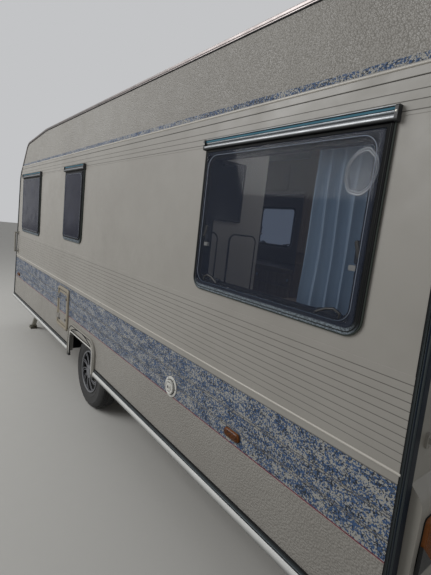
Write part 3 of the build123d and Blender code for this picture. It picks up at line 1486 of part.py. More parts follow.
with BuildPart() as table:
    with BuildSketch(level(floor_top + table_height - table_thickness)):
        with Locations((table_place, 0)):
            RectangleRounded(*table_size, table_corner)
    extrude(amount=table_thickness)
    for radius, height in ((table_post, table_height - table_thickness), (table_foot, board)):
        with BuildSketch(level(floor_top)):
            with Locations((table_place, 0)):
                Circle(radius)
        extrude(amount=height)
table.part.label = "table"
export_step(table.part, "parts/table.step")

kitchen_start = tall_end + furniture_gap
kitchen_front = -bench_side + kitchen_depth
with BuildPart() as kitchen:
    box_between((kitchen_start, -bench_side, floor_top),
                (kitchen_end, kitchen_front, floor_top + worktop_height))
    cut_between((kitchen_start + board, -bench_side + board, floor_top),
                (kitchen_end - board, kitchen_front - board, floor_top + worktop_height - worktop))
    cut_between((axle_place - box_half - 2, -inner_half, floor_top),
                (axle_place + box_half + 2, -box_inner + 2, box_top + 2))
    box_between((kitchen_start, kitchen_front - 1, floor_top + worktop_height - worktop),
                (kitchen_end, kitchen_front + worktop_over, floor_top + worktop_height))
kitchen.part.label = "kitchen_unit"
export_step(kitchen.part, "parts/kitchen_unit.step")

# Overhead lockers: start, stop along, y from and to
overhead_start, overhead_end = rear_inside + locker_depth_over, tall_start - furniture_gap
overhead_inner = bench_side - locker_depth_over
overhead = (
    (overhead_start, overhead_end, overhead_inner, inner_half),
    (overhead_start, overhead_end, -inner_half, -overhead_inner),
    (kitchen_start, kitchen_end, -inner_half, -overhead_inner),
    (rear_inside, overhead_start - furniture_gap, -inner_half, inner_half),
)
# Tall unit, washroom walls and overhead lockers, all open upwards to the roof
with BuildPart() as cabinets:
    box_between((tall_start, -bench_side, floor_top), (tall_end, kitchen_front, shell_top))
    cut_between((tall_start + board, -bench_side + board, floor_top),
                (tall_end - board, kitchen_front - board, shell_top))
    box_between((wash_start, wash_inner, floor_top), (wash_end, bench_side, shell_top))
    cut_between((wash_start + board, wash_inner + board, floor_top),
                (wash_end - board, bench_side, shell_top))
    for start, stop, low, high in overhead:
        box_between((start, low, locker_bottom), (stop, high, shell_top))
        cut_between((start + board, low + board, locker_bottom + board),
                    (stop - board, high - board, shell_top))
    with BuildSketch(lengthwise(inner_half)):
        body_outline()
        offset(amount=-shell_thickness - wall_gap)
    extrude(amount=2 * inner_half, mode=Mode.INTERSECT)
cabinets.part.label = "cabinets"
export_step(cabinets.part, "parts/cabinets.step")

# Curtains hung from the overhead lockers: wall and the stretch along it
with BuildPart() as curtains:
    for wall, start, stop in (("left", 250, 560), ("right", 250, 560), ("right", 900, 1120)):
        with BuildSketch(on_wall(wall, (start + stop) / 2, locker_bottom - curtain_drop / 2,
                                 -wall_thickness - curtain_inset)):
            Rectangle(stop - start, curtain_drop)
        extrude(amount=-curtain_thickness)
curtains.part.label = "curtains"
export_step(curtains.part, "parts/curtains.step")
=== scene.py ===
"""Travel caravan: the visible pieces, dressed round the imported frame.

Metres. X runs forward to the towing coupling, Y to the caravan's left, Z up from the ground.
Lengths along the body are measured forward from its rear bottom corner, as in the part's source.
"""
from __future__ import annotations

import json
import logging
import math
from collections.abc import Sequence
from dataclasses import dataclass, field
from enum import Enum

import bpy
import numpy as np
from mathutils import Matrix, Vector

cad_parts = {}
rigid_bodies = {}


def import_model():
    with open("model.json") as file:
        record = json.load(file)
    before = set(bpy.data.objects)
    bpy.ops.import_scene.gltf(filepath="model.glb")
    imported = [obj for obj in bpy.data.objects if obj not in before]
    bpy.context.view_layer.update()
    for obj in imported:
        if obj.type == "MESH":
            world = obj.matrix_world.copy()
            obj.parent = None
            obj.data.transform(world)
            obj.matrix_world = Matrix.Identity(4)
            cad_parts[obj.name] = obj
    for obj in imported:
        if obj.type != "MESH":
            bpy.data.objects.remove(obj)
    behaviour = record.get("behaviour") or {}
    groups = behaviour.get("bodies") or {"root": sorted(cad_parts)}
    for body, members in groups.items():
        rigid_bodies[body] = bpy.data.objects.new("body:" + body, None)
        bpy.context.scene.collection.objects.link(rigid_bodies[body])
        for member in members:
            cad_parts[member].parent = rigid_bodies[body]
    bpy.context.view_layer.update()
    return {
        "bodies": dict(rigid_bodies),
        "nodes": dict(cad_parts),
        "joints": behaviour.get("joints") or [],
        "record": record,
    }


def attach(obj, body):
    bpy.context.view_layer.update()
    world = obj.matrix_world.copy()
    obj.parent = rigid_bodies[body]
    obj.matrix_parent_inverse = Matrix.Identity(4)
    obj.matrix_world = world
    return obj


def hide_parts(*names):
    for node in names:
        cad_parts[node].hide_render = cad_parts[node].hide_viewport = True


LOG = logging.getLogger("caravan")
Array = np.ndarray
Pair = tuple[float, float]
Triple = tuple[float, float, float]
Profile = Sequence[Pair]
Tree = bpy.types.NodeTree
Socket = bpy.types.NodeSocket

# Body sizes shared by most pieces, as in the part's source
REAR_X = -3.33
HALF_WIDTH = 1.15
BODY_LENGTH = 5.416
FLOOR_UNDERSIDE = 0.412
ROOF_HEIGHT = 2.453
NOSE_LENGTH = 5.246
NOSE_HEIGHT = 2.036
REAR_LEAN = 0.054
RAIL_TOP = 0.465
BODY_POINTS = ((0.0, FLOOR_UNDERSIDE), (REAR_LEAN, ROOF_HEIGHT), (4.06, 2.462), (4.88, 2.4),
               (NOSE_LENGTH, NOSE_HEIGHT), (BODY_LENGTH, FLOOR_UNDERSIDE))
BODY_RADII = (0.15, 2.5, 0.22, 0.26)
AXLE_PLACE = 2.668
TYRE_RADIUS = 0.31
MM = 0.001
# Middles of the printed band's double lines, over the ribs pressed in the sheet
BAND_LINES = (0.781, 0.859)
UP, FORWARD, REARWARD = (0.0, 0.0, 1.0), (1.0, 0.0, 0.0), (-1.0, 0.0, 0.0)
LEFTWARD, RIGHTWARD = (0.0, 1.0, 0.0), (0.0, -1.0, 0.0)


# Shapes as whole arrays


def filleted(points: Sequence[Sequence[float]], radii: Sequence[float] | float, steps: int = 5) -> Array:
    """Open line with rounded corners.

    Each corner is cut back by radius times the tangent of half its turn, and the gap is filled with the
    circle's arc between those two points.

    Args:
        points: The corners, with the two ends.
        radii: One radius for each inner corner, or one for all.
        steps: Stretches in each arc.

    Returns:
        The points of the line, one a row.
    """
    line = np.asarray(points, float)
    count = len(line) - 2
    radius = np.full(count, radii, float) if np.isscalar(radii) else np.asarray(radii, float)
    before, after = line[:-2] - line[1:-1], line[2:] - line[1:-1]
    before /= np.linalg.norm(before, axis=1)[:, None]
    after /= np.linalg.norm(after, axis=1)[:, None]
    half = np.arccos(np.clip((before * after).sum(1), -1, 1)) / 2
    middle = before + after
    middle /= np.linalg.norm(middle, axis=1)[:, None]
    centre = line[1:-1] + middle * (radius / np.sin(half))[:, None]
    sweep = math.pi / 2 - half
    angle = np.linspace(-1, 1, steps + 1)[None, :] * sweep[:, None]
    across = after - before
    across /= np.linalg.norm(across, axis=1)[:, None]
    arc = (centre[:, None, :] - middle[:, None, :] * (np.cos(angle) * radius[:, None])[..., None]
           + across[:, None, :] * (np.sin(angle) * radius[:, None])[..., None])
    return np.vstack([line[:1], arc.reshape(-1, line.shape[1]), line[-1:]])


def rounded(width: float, height: float, radius: float, steps: int = 6, top: float = 0.0) -> Array:
    """Rounded rectangle about the origin: a quarter circle round each corner, anticlockwise.

    Args:
        width: Size along the first axis.
        height: Size along the second axis.
        radius: Radius of the corners.
        steps: Stretches in each quarter circle.
        top: Radius of the two upper corners, if another.

    Returns:
        The points of the closed outline, one a row.
    """
    radii = np.clip([top or radius] * 2 + [radius] * 2, 0.0003, min(width, height) / 2)[:, None]
    angle = np.linspace(0, math.pi / 2, steps + 1)
    quarter = np.arange(4)[:, None] * math.pi / 2 + angle[None, :]
    sign_x, sign_y = np.array([1, -1, -1, 1]), np.array([1, 1, -1, -1])
    x = sign_x[:, None] * (width / 2 - radii) + np.cos(quarter) * radii
    y = sign_y[:, None] * (height / 2 - radii) + np.sin(quarter) * radii
    return np.stack([x.ravel(), y.ravel()], 1)


def line_normals(line: Array) -> Array:
    """Normals of an open plane line, to the left of its run, lengthened at bends so offsets stay parallel.

    Args:
        line: The points, one a row.

    Returns:
        One normal a point.
    """
    run = np.diff(line, axis=0)
    run /= np.linalg.norm(run, axis=1)[:, None]
    side = np.stack([-run[:, 1], run[:, 0]], 1)
    first, second = np.vstack([side[:1], side]), np.vstack([side, side[-1:]])
    mean = first + second
    return mean / (1 + (first * second).sum(1))[:, None]


@dataclass(frozen=True)
class Base:
    """A place with three axes at right angles: across, up and out."""

    origin: Triple
    across: Triple
    up: Triple

    @property
    def out(self) -> Array:
        """Axis at right angles to the other two."""
        return np.cross(self.across, self.up)

    def place(self, across: Array | float, up: Array | float, out: Array | float) -> Array:
        """Points of the row frame for coordinates along the three axes, which are added up along them."""
        across, up, out = np.broadcast_arrays(np.asarray(across, float), up, out)
        return (np.asarray(self.origin) + across[..., None] * np.asarray(self.across)
                + up[..., None] * np.asarray(self.up) + out[..., None] * self.out)

    def moved(self, across: float, up: float, out: float = 0.0) -> Base:
        """The same axes at another place."""
        return Base(tuple(self.place(across, up, out)), self.across, self.up)

    def turned(self, degrees: float) -> Base:
        """The same place with the first two axes turned about the third."""
        cos, sin = math.cos(math.radians(degrees)), math.sin(math.radians(degrees))
        across, up = np.asarray(self.across), np.asarray(self.up)
        return Base(self.origin, tuple(cos * across + sin * up), tuple(cos * up - sin * across))


NOSE_RUN = math.hypot(BODY_LENGTH - NOSE_LENGTH, NOSE_HEIGHT - FLOOR_UNDERSIDE)
REAR_RUN = math.hypot(REAR_LEAN, ROOF_HEIGHT - FLOOR_UNDERSIDE)


class Wall(Enum):
    """The four walls' outer faces."""

    LEFT = Base((REAR_X, HALF_WIDTH, 0.0), REARWARD, UP)
    RIGHT = Base((REAR_X, -HALF_WIDTH, 0.0), FORWARD, UP)
    FRONT = Base((REAR_X + BODY_LENGTH, 0.0, FLOOR_UNDERSIDE), LEFTWARD,
                 ((NOSE_LENGTH - BODY_LENGTH) / NOSE_RUN, 0.0, (NOSE_HEIGHT - FLOOR_UNDERSIDE) / NOSE_RUN))
    REAR = Base((REAR_X, 0.0, FLOOR_UNDERSIDE), RIGHTWARD,
                (REAR_LEAN / REAR_RUN, 0.0, (ROOF_HEIGHT - FLOOR_UNDERSIDE) / REAR_RUN))

    def at(self, along: float, up: float, out: float = 0.0) -> Base:
        """Base on the wall. Along is the length on a side wall and y on the others."""
        sign = -1 if self in (Wall.LEFT, Wall.REAR) else 1
        return self.value.moved(sign * along, up, out)


def stand(length: float, side: float, height: float, across: Triple = LEFTWARD, up: Triple = UP) -> Base:
    """Base at a length from the body's rear, a distance to the left and a height."""
    return Base((REAR_X + length, side, height), across, up)


def metres(profile: Profile) -> list[Pair]:
    """Cross-section given in millimetres, in metres."""
    return [(a * MM, b * MM) for a, b in profile]


@dataclass
class Shape:
    """Surfaces gathered into one mesh."""

    points: list[Array] = field(default_factory=list)
    faces: list[Array] = field(default_factory=list)
    marks: list[Array] = field(default_factory=list)
    total: int = 0

    def _keep(self, points: Array, mark: Array | float) -> int:
        """Keeps points with their mark, a number that a finish may read, and gives the first one's place."""
        first = self.total
        flat = points.reshape(-1, 3)
        self.points.append(flat)
        self.marks.append(np.broadcast_to(np.asarray(mark, float), points.shape[:-1]).ravel())
        self.total += len(flat)
        return first

    def grid(self, points: Array, wrap_u: bool = False, wrap_v: bool = False, flip: bool = False,
             mark: Array | float = 0.0) -> Shape:
        """Adds a surface of quads over a grid of points.

        Args:
            points: The grid, u by v by 3. Faces point along the u run crossed with the v run.
            wrap_u: Joins the last row to the first.
            wrap_v: Joins the last column to the first.
            flip: Turns the faces over.
            mark: Number kept at each point.

        Returns:
            The shape itself.
        """
        rows, columns = points.shape[:2]
        first = self._keep(points, mark)
        u = np.arange(rows if wrap_u else rows - 1)[:, None]
        v = np.arange(columns if wrap_v else columns - 1)[None, :]
        u_next, v_next = (u + 1) % rows, (v + 1) % columns
        corners = [u * columns + v, u_next * columns + v, u_next * columns + v_next, u * columns + v_next]
        quads = np.stack([np.broadcast_to(c, (u.size, v.size)).ravel() for c in corners], 1) + first
        self.faces.append(quads[:, ::-1] if flip else quads)
        return self

    def cap(self, ring: Array, flip: bool = False, mark: float = 0.0) -> Shape:
        """Adds one flat face inside a ring of points."""
        first = self._keep(ring, mark)
        face = np.arange(len(ring))[None, :] + first
        self.faces.append(face[:, ::-1] if flip else face)
        return self

    def pad(self, base: Base, width: float, height: float, radius: float, profile: Profile,
            steps: int = 6, capped: bool = True, closed: bool = False,
            marks: Array | Sequence[float] | None = None, backed: bool = False, top: float = 0.0) -> Shape:
        """Adds a raised form on a base: rounded rectangles, each drawn in by the profile, joined up.

        Args:
            base: Its middle, with out away from what carries it.
            width: Size across.
            height: Size up.
            radius: Corner radius.
            profile: How far each outline is drawn in and how far out it lies, in millimetres.
            steps: Stretches in each corner.
            capped: Closes the last outline.
            closed: Joins the last outline to the first, for a ring.
            marks: Number kept at each outline, or at each point of each.
            backed: Closes the first outline too.
            top: Radius of the two upper corners, if another.

        Returns:
            The shape itself.
        """
        inset, out = np.transpose(metres(profile))
        rings = np.stack([rounded(width - 2 * i, height - 2 * i, radius - i, steps, top and max(top - i, MM))
                          for i in inset], 1)
        out = np.broadcast_to(out, rings.shape[:2])
        points = base.place(rings[..., 0], rings[..., 1], out)
        kept = 0.0 if marks is None else np.broadcast_to(np.asarray(marks, float), out.shape)
        self.grid(points, wrap_u=True, wrap_v=closed, mark=kept)
        if capped and not closed:
            self.cap(points[:, -1], mark=0.0 if marks is None else marks[-1])
        if backed:
            self.cap(points[:, 0], flip=True, mark=0.0 if marks is None else marks[0])
        return self

    def block(self, *form: object, **more: object) -> Shape:
        """Adds a pad that is closed at the back too."""
        return self.pad(*form, backed=True, **more)

    def ring(self, *form: object, **more: object) -> Shape:
        """Adds a pad whose last outline joins the first."""
        return self.pad(*form, closed=True, **more)

    def turned(self, base: Base, profile: Profile, steps: int = 32, closed: bool = False) -> Shape:
        """Adds a turned form: each point (radius, out), in mm, is carried round the base's out axis."""
        angle = np.linspace(0, 2 * math.pi, steps, endpoint=False)[:, None]
        radius, out = np.transpose(metres(profile))
        return self.grid(base.place(np.cos(angle) * radius, np.sin(angle) * radius, out), wrap_u=True,
                         wrap_v=closed)

    def bolts(self, bases: Sequence[Base], flats: float, high: float) -> Shape:
        """Adds hexagon heads: six-sided turned forms, each over a flat round washer.

        Args:
            bases: Where each head sits.
            flats: Distance across the flats in millimetres.
            high: Height of a head in millimetres.

        Returns:
            The shape itself.
        """
        half = flats / 2 / math.cos(math.pi / 6)
        for base in bases:
            self.turned(base, [(half * 1.35, 0), (half * 1.35, 1.5), (half * 0.9, 1.7)], 16)
            self.turned(base, [(half, 1), (half, high - 1), (half * 0.86, high), (0, high)], 6)
        return self

    def tube(self, path: Array, radius: Array | float, side: Sequence[float], steps: int) -> Shape:
        """Adds a round bar along a flat path, closed at both ends.

        Each point carries a circle spanned by the side axis and by the side axis crossed with the run.

        Args:
            path: Middle line, one point a row.
            radius: Radius, or one for each point.
            side: Axis at right angles to the path's plane.
            steps: Points round it.

        Returns:
            The shape itself.
        """
        run = np.gradient(path, axis=0)
        run /= np.linalg.norm(run, axis=1)[:, None]
        side = np.asarray(side, float) / np.linalg.norm(side)
        other = np.cross(run, side)
        angle = np.linspace(0, 2 * math.pi, steps, endpoint=False)
        thick = np.broadcast_to(np.asarray(radius, float), len(path))[:, None, None]
        points = (path[:, None, :] + thick * (np.cos(angle)[None, :, None] * other[:, None, :]
                                              + np.sin(angle)[None, :, None] * side[None, None, :]))
        return self.grid(points, wrap_v=True, flip=True).cap(points[0]).cap(points[-1], flip=True)

    def strip(self, base: Base, line: Array, profile: Profile, marks: Sequence[float] = (0.0,)) -> Shape:
        """Adds a solid moulding carried along a plane line.

        Each profile point (in, out) lies that many millimetres to the left of the line and out of its plane.

        Args:
            base: Plane of the line.
            line: The open line in the base's plane.
            profile: Cross-section, in order.
            marks: Number kept at each point of the section.

        Returns:
            The shape itself.
        """
        normal = line_normals(line)
        cut = np.asarray(metres(profile))
        flat = line[:, None, :] + normal[:, None, :] * cut[None, :, 0, None]
        points = base.place(flat[..., 0], flat[..., 1], np.broadcast_to(cut[:, 1], flat.shape[:2]))
        self.grid(points, wrap_v=True, mark=np.broadcast_to(np.asarray(marks, float), flat.shape[:2]))
        return self.cap(points[0], flip=True).cap(points[-1])

    def bar(self, base: Base, length: float, profile: Profile, marks: Sequence[float] = (0.0,)) -> Shape:
        """Adds a straight moulding along the base's across axis, with its section in up and out."""
        return self.strip(base, np.array([[-length / 2, 0.0], [length / 2, 0.0]]), profile, marks)

    def mesh(self, name: str) -> bpy.types.Mesh:
        """Blender mesh of everything added, with its marks, shaded smooth up to 35 degrees."""
        made = bpy.data.meshes.new(name)
        points = np.concatenate(self.points).astype(np.float32)
        loops = np.concatenate([f.ravel() for f in self.faces]).astype(np.int32)
        sizes = np.concatenate([np.full(len(f), f.shape[1]) for f in self.faces])
        starts = np.concatenate([[0], np.cumsum(sizes)[:-1]]).astype(np.int32)
        made.vertices.add(len(points))
        made.vertices.foreach_set("co", points.ravel())
        made.loops.add(len(loops))
        made.loops.foreach_set("vertex_index", loops)
        made.polygons.add(len(starts))
        made.polygons.foreach_set("loop_start", starts)
        made.polygons.foreach_set("use_smooth", np.ones(len(starts), bool))
        made.update(calc_edges=True)
        made.validate()
        marks = np.concatenate(self.marks).astype(np.float32)
        if np.any(marks) and len(marks) == len(made.vertices):
            made.attributes.new("mark", "FLOAT", "POINT").data.foreach_set("value", marks)
        made.set_sharp_from_angle(angle=math.radians(35))
        return made


class Body(Enum):
    """Bodies of the frame that new pieces ride on."""

    CARAVAN = "caravan"
    WHEEL_LEFT = "wheel_left"
    WHEEL_RIGHT = "wheel_right"
    DOOR = "entrance_door"
    SERVICE_DOOR = "service_door"
    GAS_LID = "gas_lid"
    MAIN_LID = "main_roof_lid"
    WASHROOM_LID = "washroom_roof_lid"
    JOCKEY_WHEEL = "jockey_wheel"


def add_piece(name: str, shape: Shape, finish: Finish, body: Body = Body.CARAVAN,
              replaces: str = "") -> bpy.types.Object:
    """Makes a piece from a shape, finishes it and lets it ride.

    Args:
        name: The piece's name.
        shape: Its surfaces.
        finish: Its finish.
        body: The body it rides on.
        replaces: CAD node it stands for.

    Returns:
        The new object.
    """
    made = bpy.data.objects.new(name, shape.mesh(name))
    bpy.context.scene.collection.objects.link(made)
    made.data.materials.append(finish.material())
    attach(made, body.value)
    if replaces:
        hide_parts(replaces)
    LOG.info("%s: %d faces", name, len(made.data.polygons))
    return made


# Finishes


def linear(code: str) -> tuple[float, float, float, float]:
    """Linear colour of an sRGB hex code: each channel over 255, then by the sRGB curve."""
    channels = [int(code[i:i + 2], 16) / 255 for i in (1, 3, 5)]
    red, green, blue = (c / 12.92 if c <= 0.04045 else ((c + 0.055) / 1.055) ** 2.4 for c in channels)
    return red, green, blue, 1.0


def add_node(tree: Tree, kind: str, inputs: dict | None = None,
             **settings: object) -> bpy.types.NodeOutputs:
    """Adds a node with its settings and links.

    Args:
        tree: The material's tree.
        kind: The node's type, without its first word.
        inputs: Value, hex colour or socket to link for each input, by name or place.
        settings: Properties of the node.

    Returns:
        The node's outputs.
    """
    node = tree.nodes.new(f"ShaderNode{kind}")
    for key, value in settings.items():
        setattr(node, key, value)
    for key, value in (inputs or {}).items():
        if isinstance(value, Socket):
            tree.links.new(value, node.inputs[key])
        else:
            node.inputs[key].default_value = linear(value) if isinstance(value, str) else value
    return node.outputs


@dataclass(frozen=True)
class Finish:
    """Plain finish: a colour that wanders a little, an uneven gloss and a fine relief.

    Attributes:
        name: The material's name.
        colour: Main colour.
        stain: Colour that it wanders to.
        stain_share: Most of the stain that shows.
        stain_size: Width of the stained patches in metres.
        roughness: Middle roughness.
        uneven: How far the roughness wanders.
        relief: Height of the relief in metres.
        grain: Width of the relief's grain in metres; 2 mm is coarser than life, so that it shows.
        stretch: How the grain is drawn out along each axis.
        grime_and_shade: Colour where the mesh's mark is 1: real stains on some finishes, painted shade on
            others.
        grime_even: Share of that colour that lies evenly; the rest comes in specks 5 mm wide.
        sockets: Constant values of the shader.
    """

    name: str
    colour: str
    stain: str = "#4a453f"
    stain_share: float = 0.25
    stain_size: float = 0.2
    roughness: float = 0.45
    uneven: float = 0.1
    relief: float = 0.0001
    grain: float = 0.002
    stretch: Triple = (1.0, 1.0, 1.0)
    grime_and_shade: str = "#1d1e20"
    grime_even: float = 1.0
    sockets: tuple[tuple[str, float], ...] = ()

    def material(self) -> bpy.types.Material:
        """The finish as a material, made once."""
        known = bpy.data.materials.get(self.name)
        if known:
            return known
        made = bpy.data.materials.new(self.name)
        made.use_nodes = True
        tree = made.node_tree
        shader = tree.nodes["Principled BSDF"]
        for name, value in self.sockets:
            shader.inputs[name].default_value = value
        place = add_node(tree, "TexCoord")["Object"]
        tree.links.new(self.soiled_and_shaded(tree, place, self.paint(tree, place)), shader.inputs["Base Color"])
        tree.links.new(self.gloss(tree, place), shader.inputs["Roughness"])
        height = self.height(tree, place)
        bump = add_node(tree, "Bump", {"Height": height, "Distance": self.relief, "Strength": 1.0})
        tree.links.new(bump[0], shader.inputs["Normal"])
        made.diffuse_color = linear(self.colour)
        return made

    def patches(self, tree: Tree, place: Socket) -> Socket:
        """Soft patches from 0 to the stain's share."""
        noise = add_node(tree, "TexNoise", {"Vector": place, "Scale": 1 / self.stain_size, "Detail": 4.0,
                                            "Roughness": 0.6})
        return add_node(tree, "MapRange", {"Value": noise[0], "From Min": 0.42, "From Max": 0.75,
                                           "To Max": self.stain_share})[0]

    def paint(self, tree: Tree, place: Socket) -> Socket:
        """Colour: the main one, mixed with the stain in soft patches."""
        return add_node(tree, "Mix", {"Factor": self.patches(tree, place), "A": self.colour,
                                      "B": self.stain}, data_type="RGBA")["Result"]

    def soiled_and_shaded(self, tree: Tree, place: Socket,
               clean: Socket) -> Socket:
        """Mixes a colour with the mark colour by the mesh's mark, times an even share and a speckled one;
        the mark colour is real stains on some finishes and painted shade on others.
        """
        share = add_node(tree, "Attribute", attribute_name="mark")["Fac"]
        if self.grime_even < 1:
            specks = add_node(tree, "TexNoise", {"Vector": place, "Scale": 200.0, "Detail": 2.0})[0]
            part = add_node(tree, "MapRange", {"Value": specks, "From Min": 0.42, "From Max": 0.58,
                                               "To Min": self.grime_even})[0]
            share = add_node(tree, "Math", {0: share, 1: part}, operation="MULTIPLY")[0]
        return add_node(tree, "Mix", {"Factor": share, "A": clean, "B": self.grime_and_shade},
                        data_type="RGBA")["Result"]

    def gloss(self, tree: Tree, place: Socket) -> Socket:
        """Roughness: wanders about its middle with smears a tenth of a metre long."""
        noise = add_node(tree, "TexNoise", {"Vector": place, "Scale": 10.0, "Detail": 5.0})
        return add_node(tree, "MapRange", {"Value": noise[0], "From Min": 0.3, "From Max": 0.7,
                                           "To Min": self.roughness - self.uneven,
                                           "To Max": self.roughness + self.uneven})[0]

    def height(self, tree: Tree, place: Socket) -> Socket:
        """Relief: noise of the grain's width, drawn out along the stretch."""
        drawn = add_node(tree, "Mapping", {"Vector": place, "Scale": self.stretch})[0]
        return add_node(tree, "TexNoise", {"Vector": drawn, "Scale": 1 / self.grain, "Detail": 3.0})[0]


METAL = (("Metallic", 1.0),)
# Moulded ABS and acrylonitrile blends: a soft sheen with a fine spark-eroded grain
MOULDED = (("Metallic", 0.0), ("Specular IOR Level", 0.45))
RUBBER = (("Metallic", 0.0), ("Specular IOR Level", 0.1))


@dataclass(frozen=True)
class WallSheet(Finish):
    """Pre-painted aluminium sheet of the side walls: hammered above and below, smooth between, with its
    printed blue band and stripe.

    Attributes:
        band: Heights of the printed band's edges.
        stripe: Heights of the upper stripe's edges.
        beige: Ground colour of the print.
        cloud: Its blue blots.
        navy: Its darkest specks and its lines.
        red: Line along the band's foot.
        pink: Thin line under the red one.
    """

    band: Pair = (0.714, 0.967)
    stripe: Pair = (2.146, 2.168)
    beige: str = "#92918c"
    cloud: str = "#2b486e"
    navy: str = "#141b25"
    red: str = "#6a2c38"
    pink: str = "#a08a86"

    def between(self, tree: Tree, height: Socket, low: float, high: float,
                soft: float = 0.0006) -> Socket:
        """1 between two heights and 0 elsewhere: a rising step times a falling one."""
        rise = add_node(tree, "MapRange", {"Value": height, "From Min": low - soft,
                                           "From Max": low + soft})[0]
        fall = add_node(tree, "MapRange", {"Value": height, "From Min": high - soft,
                                           "From Max": high + soft, "To Min": 1.0, "To Max": 0.0})[0]
        return add_node(tree, "Math", {0: rise, 1: fall}, operation="MULTIPLY")[0]

    def speckle(self, tree: Tree, place: Socket) -> Socket:
        """Printed clouds: blots 4 to 8 mm wide gather where a noise 40 mm wide, drawn out along the wall, is
        high, and navy specks gather in their hearts.
        """
        turned = add_node(tree, "Mapping", {"Vector": place, "Rotation": (0.0, 0.12, 0.0)})[0]
        drawn = add_node(tree, "Mapping", {"Vector": turned, "Scale": (0.35, 1.0, 1.0)})[0]
        slow = add_node(tree, "TexNoise", {"Vector": drawn, "Scale": 26.0, "Detail": 3.0})[0]
        result: Socket | str = self.beige
        for scale, colour, start, stop in ((150.0, self.cloud, 0.68, 0.7), (170.0, self.navy, 0.76, 0.79)):
            fine = add_node(tree, "TexNoise", {"Vector": place, "Scale": scale, "Detail": 1.0,
                                               "Distortion": 0.5})[0]
            total = add_node(tree, "Math", {0: slow, 1: 0.39, 2: fine},
                             operation="MULTIPLY_ADD")[0]
            share = add_node(tree, "MapRange", {"Value": total, "From Min": start, "From Max": stop})[0]
            result = add_node(tree, "Mix", {"Factor": share, "A": result, "B": colour},
                              data_type="RGBA")["Result"]
        return result

    def pebbles(self, tree: Tree, place: Socket) -> Socket:
        """Distance from the middles of rolled pebbles 9 mm long that lean back, 0 on the smooth sheet."""
        turned = add_node(tree, "Mapping", {"Vector": place, "Rotation": (0.0, 0.7, 0.0)})[0]
        drawn = add_node(tree, "Mapping", {"Vector": turned, "Scale": (1.0, 1.0, 1.7)})[0]
        cells = add_node(tree, "TexVoronoi", {"Vector": drawn, "Scale": 115.0, "Smoothness": 0.12},
                         feature="SMOOTH_F1")[0]
        height = add_node(tree, "SeparateXYZ", {0: place})["Z"]
        smooth = self.between(tree, height, self.band[0], self.stripe[0])
        return add_node(tree, "Mix", {"Factor": smooth, "A": cells, "B": 0.0})[0]

    def paint(self, tree: Tree, place: Socket) -> Socket:
        """Colour: the sheet's own, painted shade between the pebbles, then the printed band, stripe and
        lines.
        """
        # Painted shade: the sheet darkens to its mark colour between the pebbles, where the relief lies in
        # shade
        pebble_shade = add_node(tree, "MapRange", {"Value": self.pebbles(tree, place), "From Min": 0.34,
                                           "From Max": 0.6, "To Max": 0.22})[0]
        result = add_node(tree, "Mix", {"Factor": pebble_shade, "A": super().paint(tree, place), "B": self.grime_and_shade},
                          data_type="RGBA")["Result"]
        height = add_node(tree, "SeparateXYZ", {0: place})["Z"]
        print_colour = self.speckle(tree, place)
        low, high = self.band
        zones = ((low, high, print_colour), (*self.stripe, print_colour),
                 (low - 0.005, low - 0.0022, self.pink), (low - 0.0022, low + 0.0026, self.red),
                 (self.stripe[0] - 0.006, self.stripe[0] - 0.003, self.red),
                 (high - 0.0035, high + 0.0005, self.navy),
                 *((z + step - 0.0015, z + step + 0.0015, self.navy) for z in BAND_LINES
                   for step in (-0.0045, 0.0045)))
        for start, stop, colour in zones:
            share = self.between(tree, height, start, stop)
            result = add_node(tree, "Mix", {"Factor": share, "A": result, "B": colour},
                              data_type="RGBA")["Result"]
        return result

    def height(self, tree: Tree, place: Socket) -> Socket:
        """Relief: the pebbles' height, on the sheets above and below the smooth one."""
        return add_node(tree, "Math", {0: 1.0, 1: self.pebbles(tree, place)},
                        operation="SUBTRACT")[0]


@dataclass(frozen=True)
class Acrylic(Finish):
    """Cast acrylic, tinted in the mass: see-through, with a hard gloss and a milky edge where it is thick.

    Attributes:
        alpha: Cover of the pane's middle.
        rim_alpha: Cover where the mark is 1, at the bonded border.
    """

    alpha: float = 0.5
    rim_alpha: float = 0.85

    def material(self) -> bpy.types.Material:
        """The finish as a material, made once, with its cover led by the mark."""
        known = bpy.data.materials.get(self.name)
        made = known or super().material()
        if not known:
            tree = made.node_tree
            mark = add_node(tree, "Attribute", attribute_name="mark")["Fac"]
            cover = add_node(tree, "MapRange", {"Value": mark, "To Min": self.alpha,
                                                "To Max": self.rim_alpha})[0]
            tree.links.new(cover, tree.nodes["Principled BSDF"].inputs["Alpha"])
        return made


@dataclass(frozen=True)
class Woven(Finish):
    """Woven cloth: two sets of threads that cross, as waves along the mesh's own UV map.

    Attributes:
        threads: Threads along each side of the UV square, drawn coarser than life so that they show.
    """

    threads: Pair = (300.0, 300.0)

    def height(self, tree: Tree, place: Socket) -> Socket:
        """Relief: the greater of the warp's wave and the weft's."""
        flat = add_node(tree, "UVMap")[0]
        waves = []
        for axis, count in zip("XY", self.threads):
            inputs = {"Vector": flat, "Scale": count / 20, "Distortion": 0.6, "Detail": 1.0}
            waves.append(add_node(tree, "TexWave", inputs, bands_direction=axis)[1])
        return add_node(tree, "Math", {0: waves[0], 1: waves[1]}, operation="MAXIMUM")[0]


@dataclass(frozen=True)
class Veneer(Finish):
    """Wood-grain foil on board: long streaks up the board with darker pores."""

    def paint(self, tree: Tree, place: Socket) -> Socket:
        """Colour: the main one, darkened along streaks 12 mm wide and half a metre long."""
        drawn = add_node(tree, "Mapping", {"Vector": place, "Scale": (80.0, 80.0, 3.0)})[0]
        streak = add_node(tree, "TexNoise", {"Vector": drawn, "Scale": 1.0, "Detail": 5.0,
                                             "Distortion": 0.6})[0]
        share = add_node(tree, "MapRange", {"Value": streak, "From Min": 0.4, "From Max": 0.7,
                                            "To Max": self.stain_share})[0]
        return add_node(tree, "Mix", {"Factor": share, "A": self.colour, "B": self.stain},
                        data_type="RGBA")["Result"]
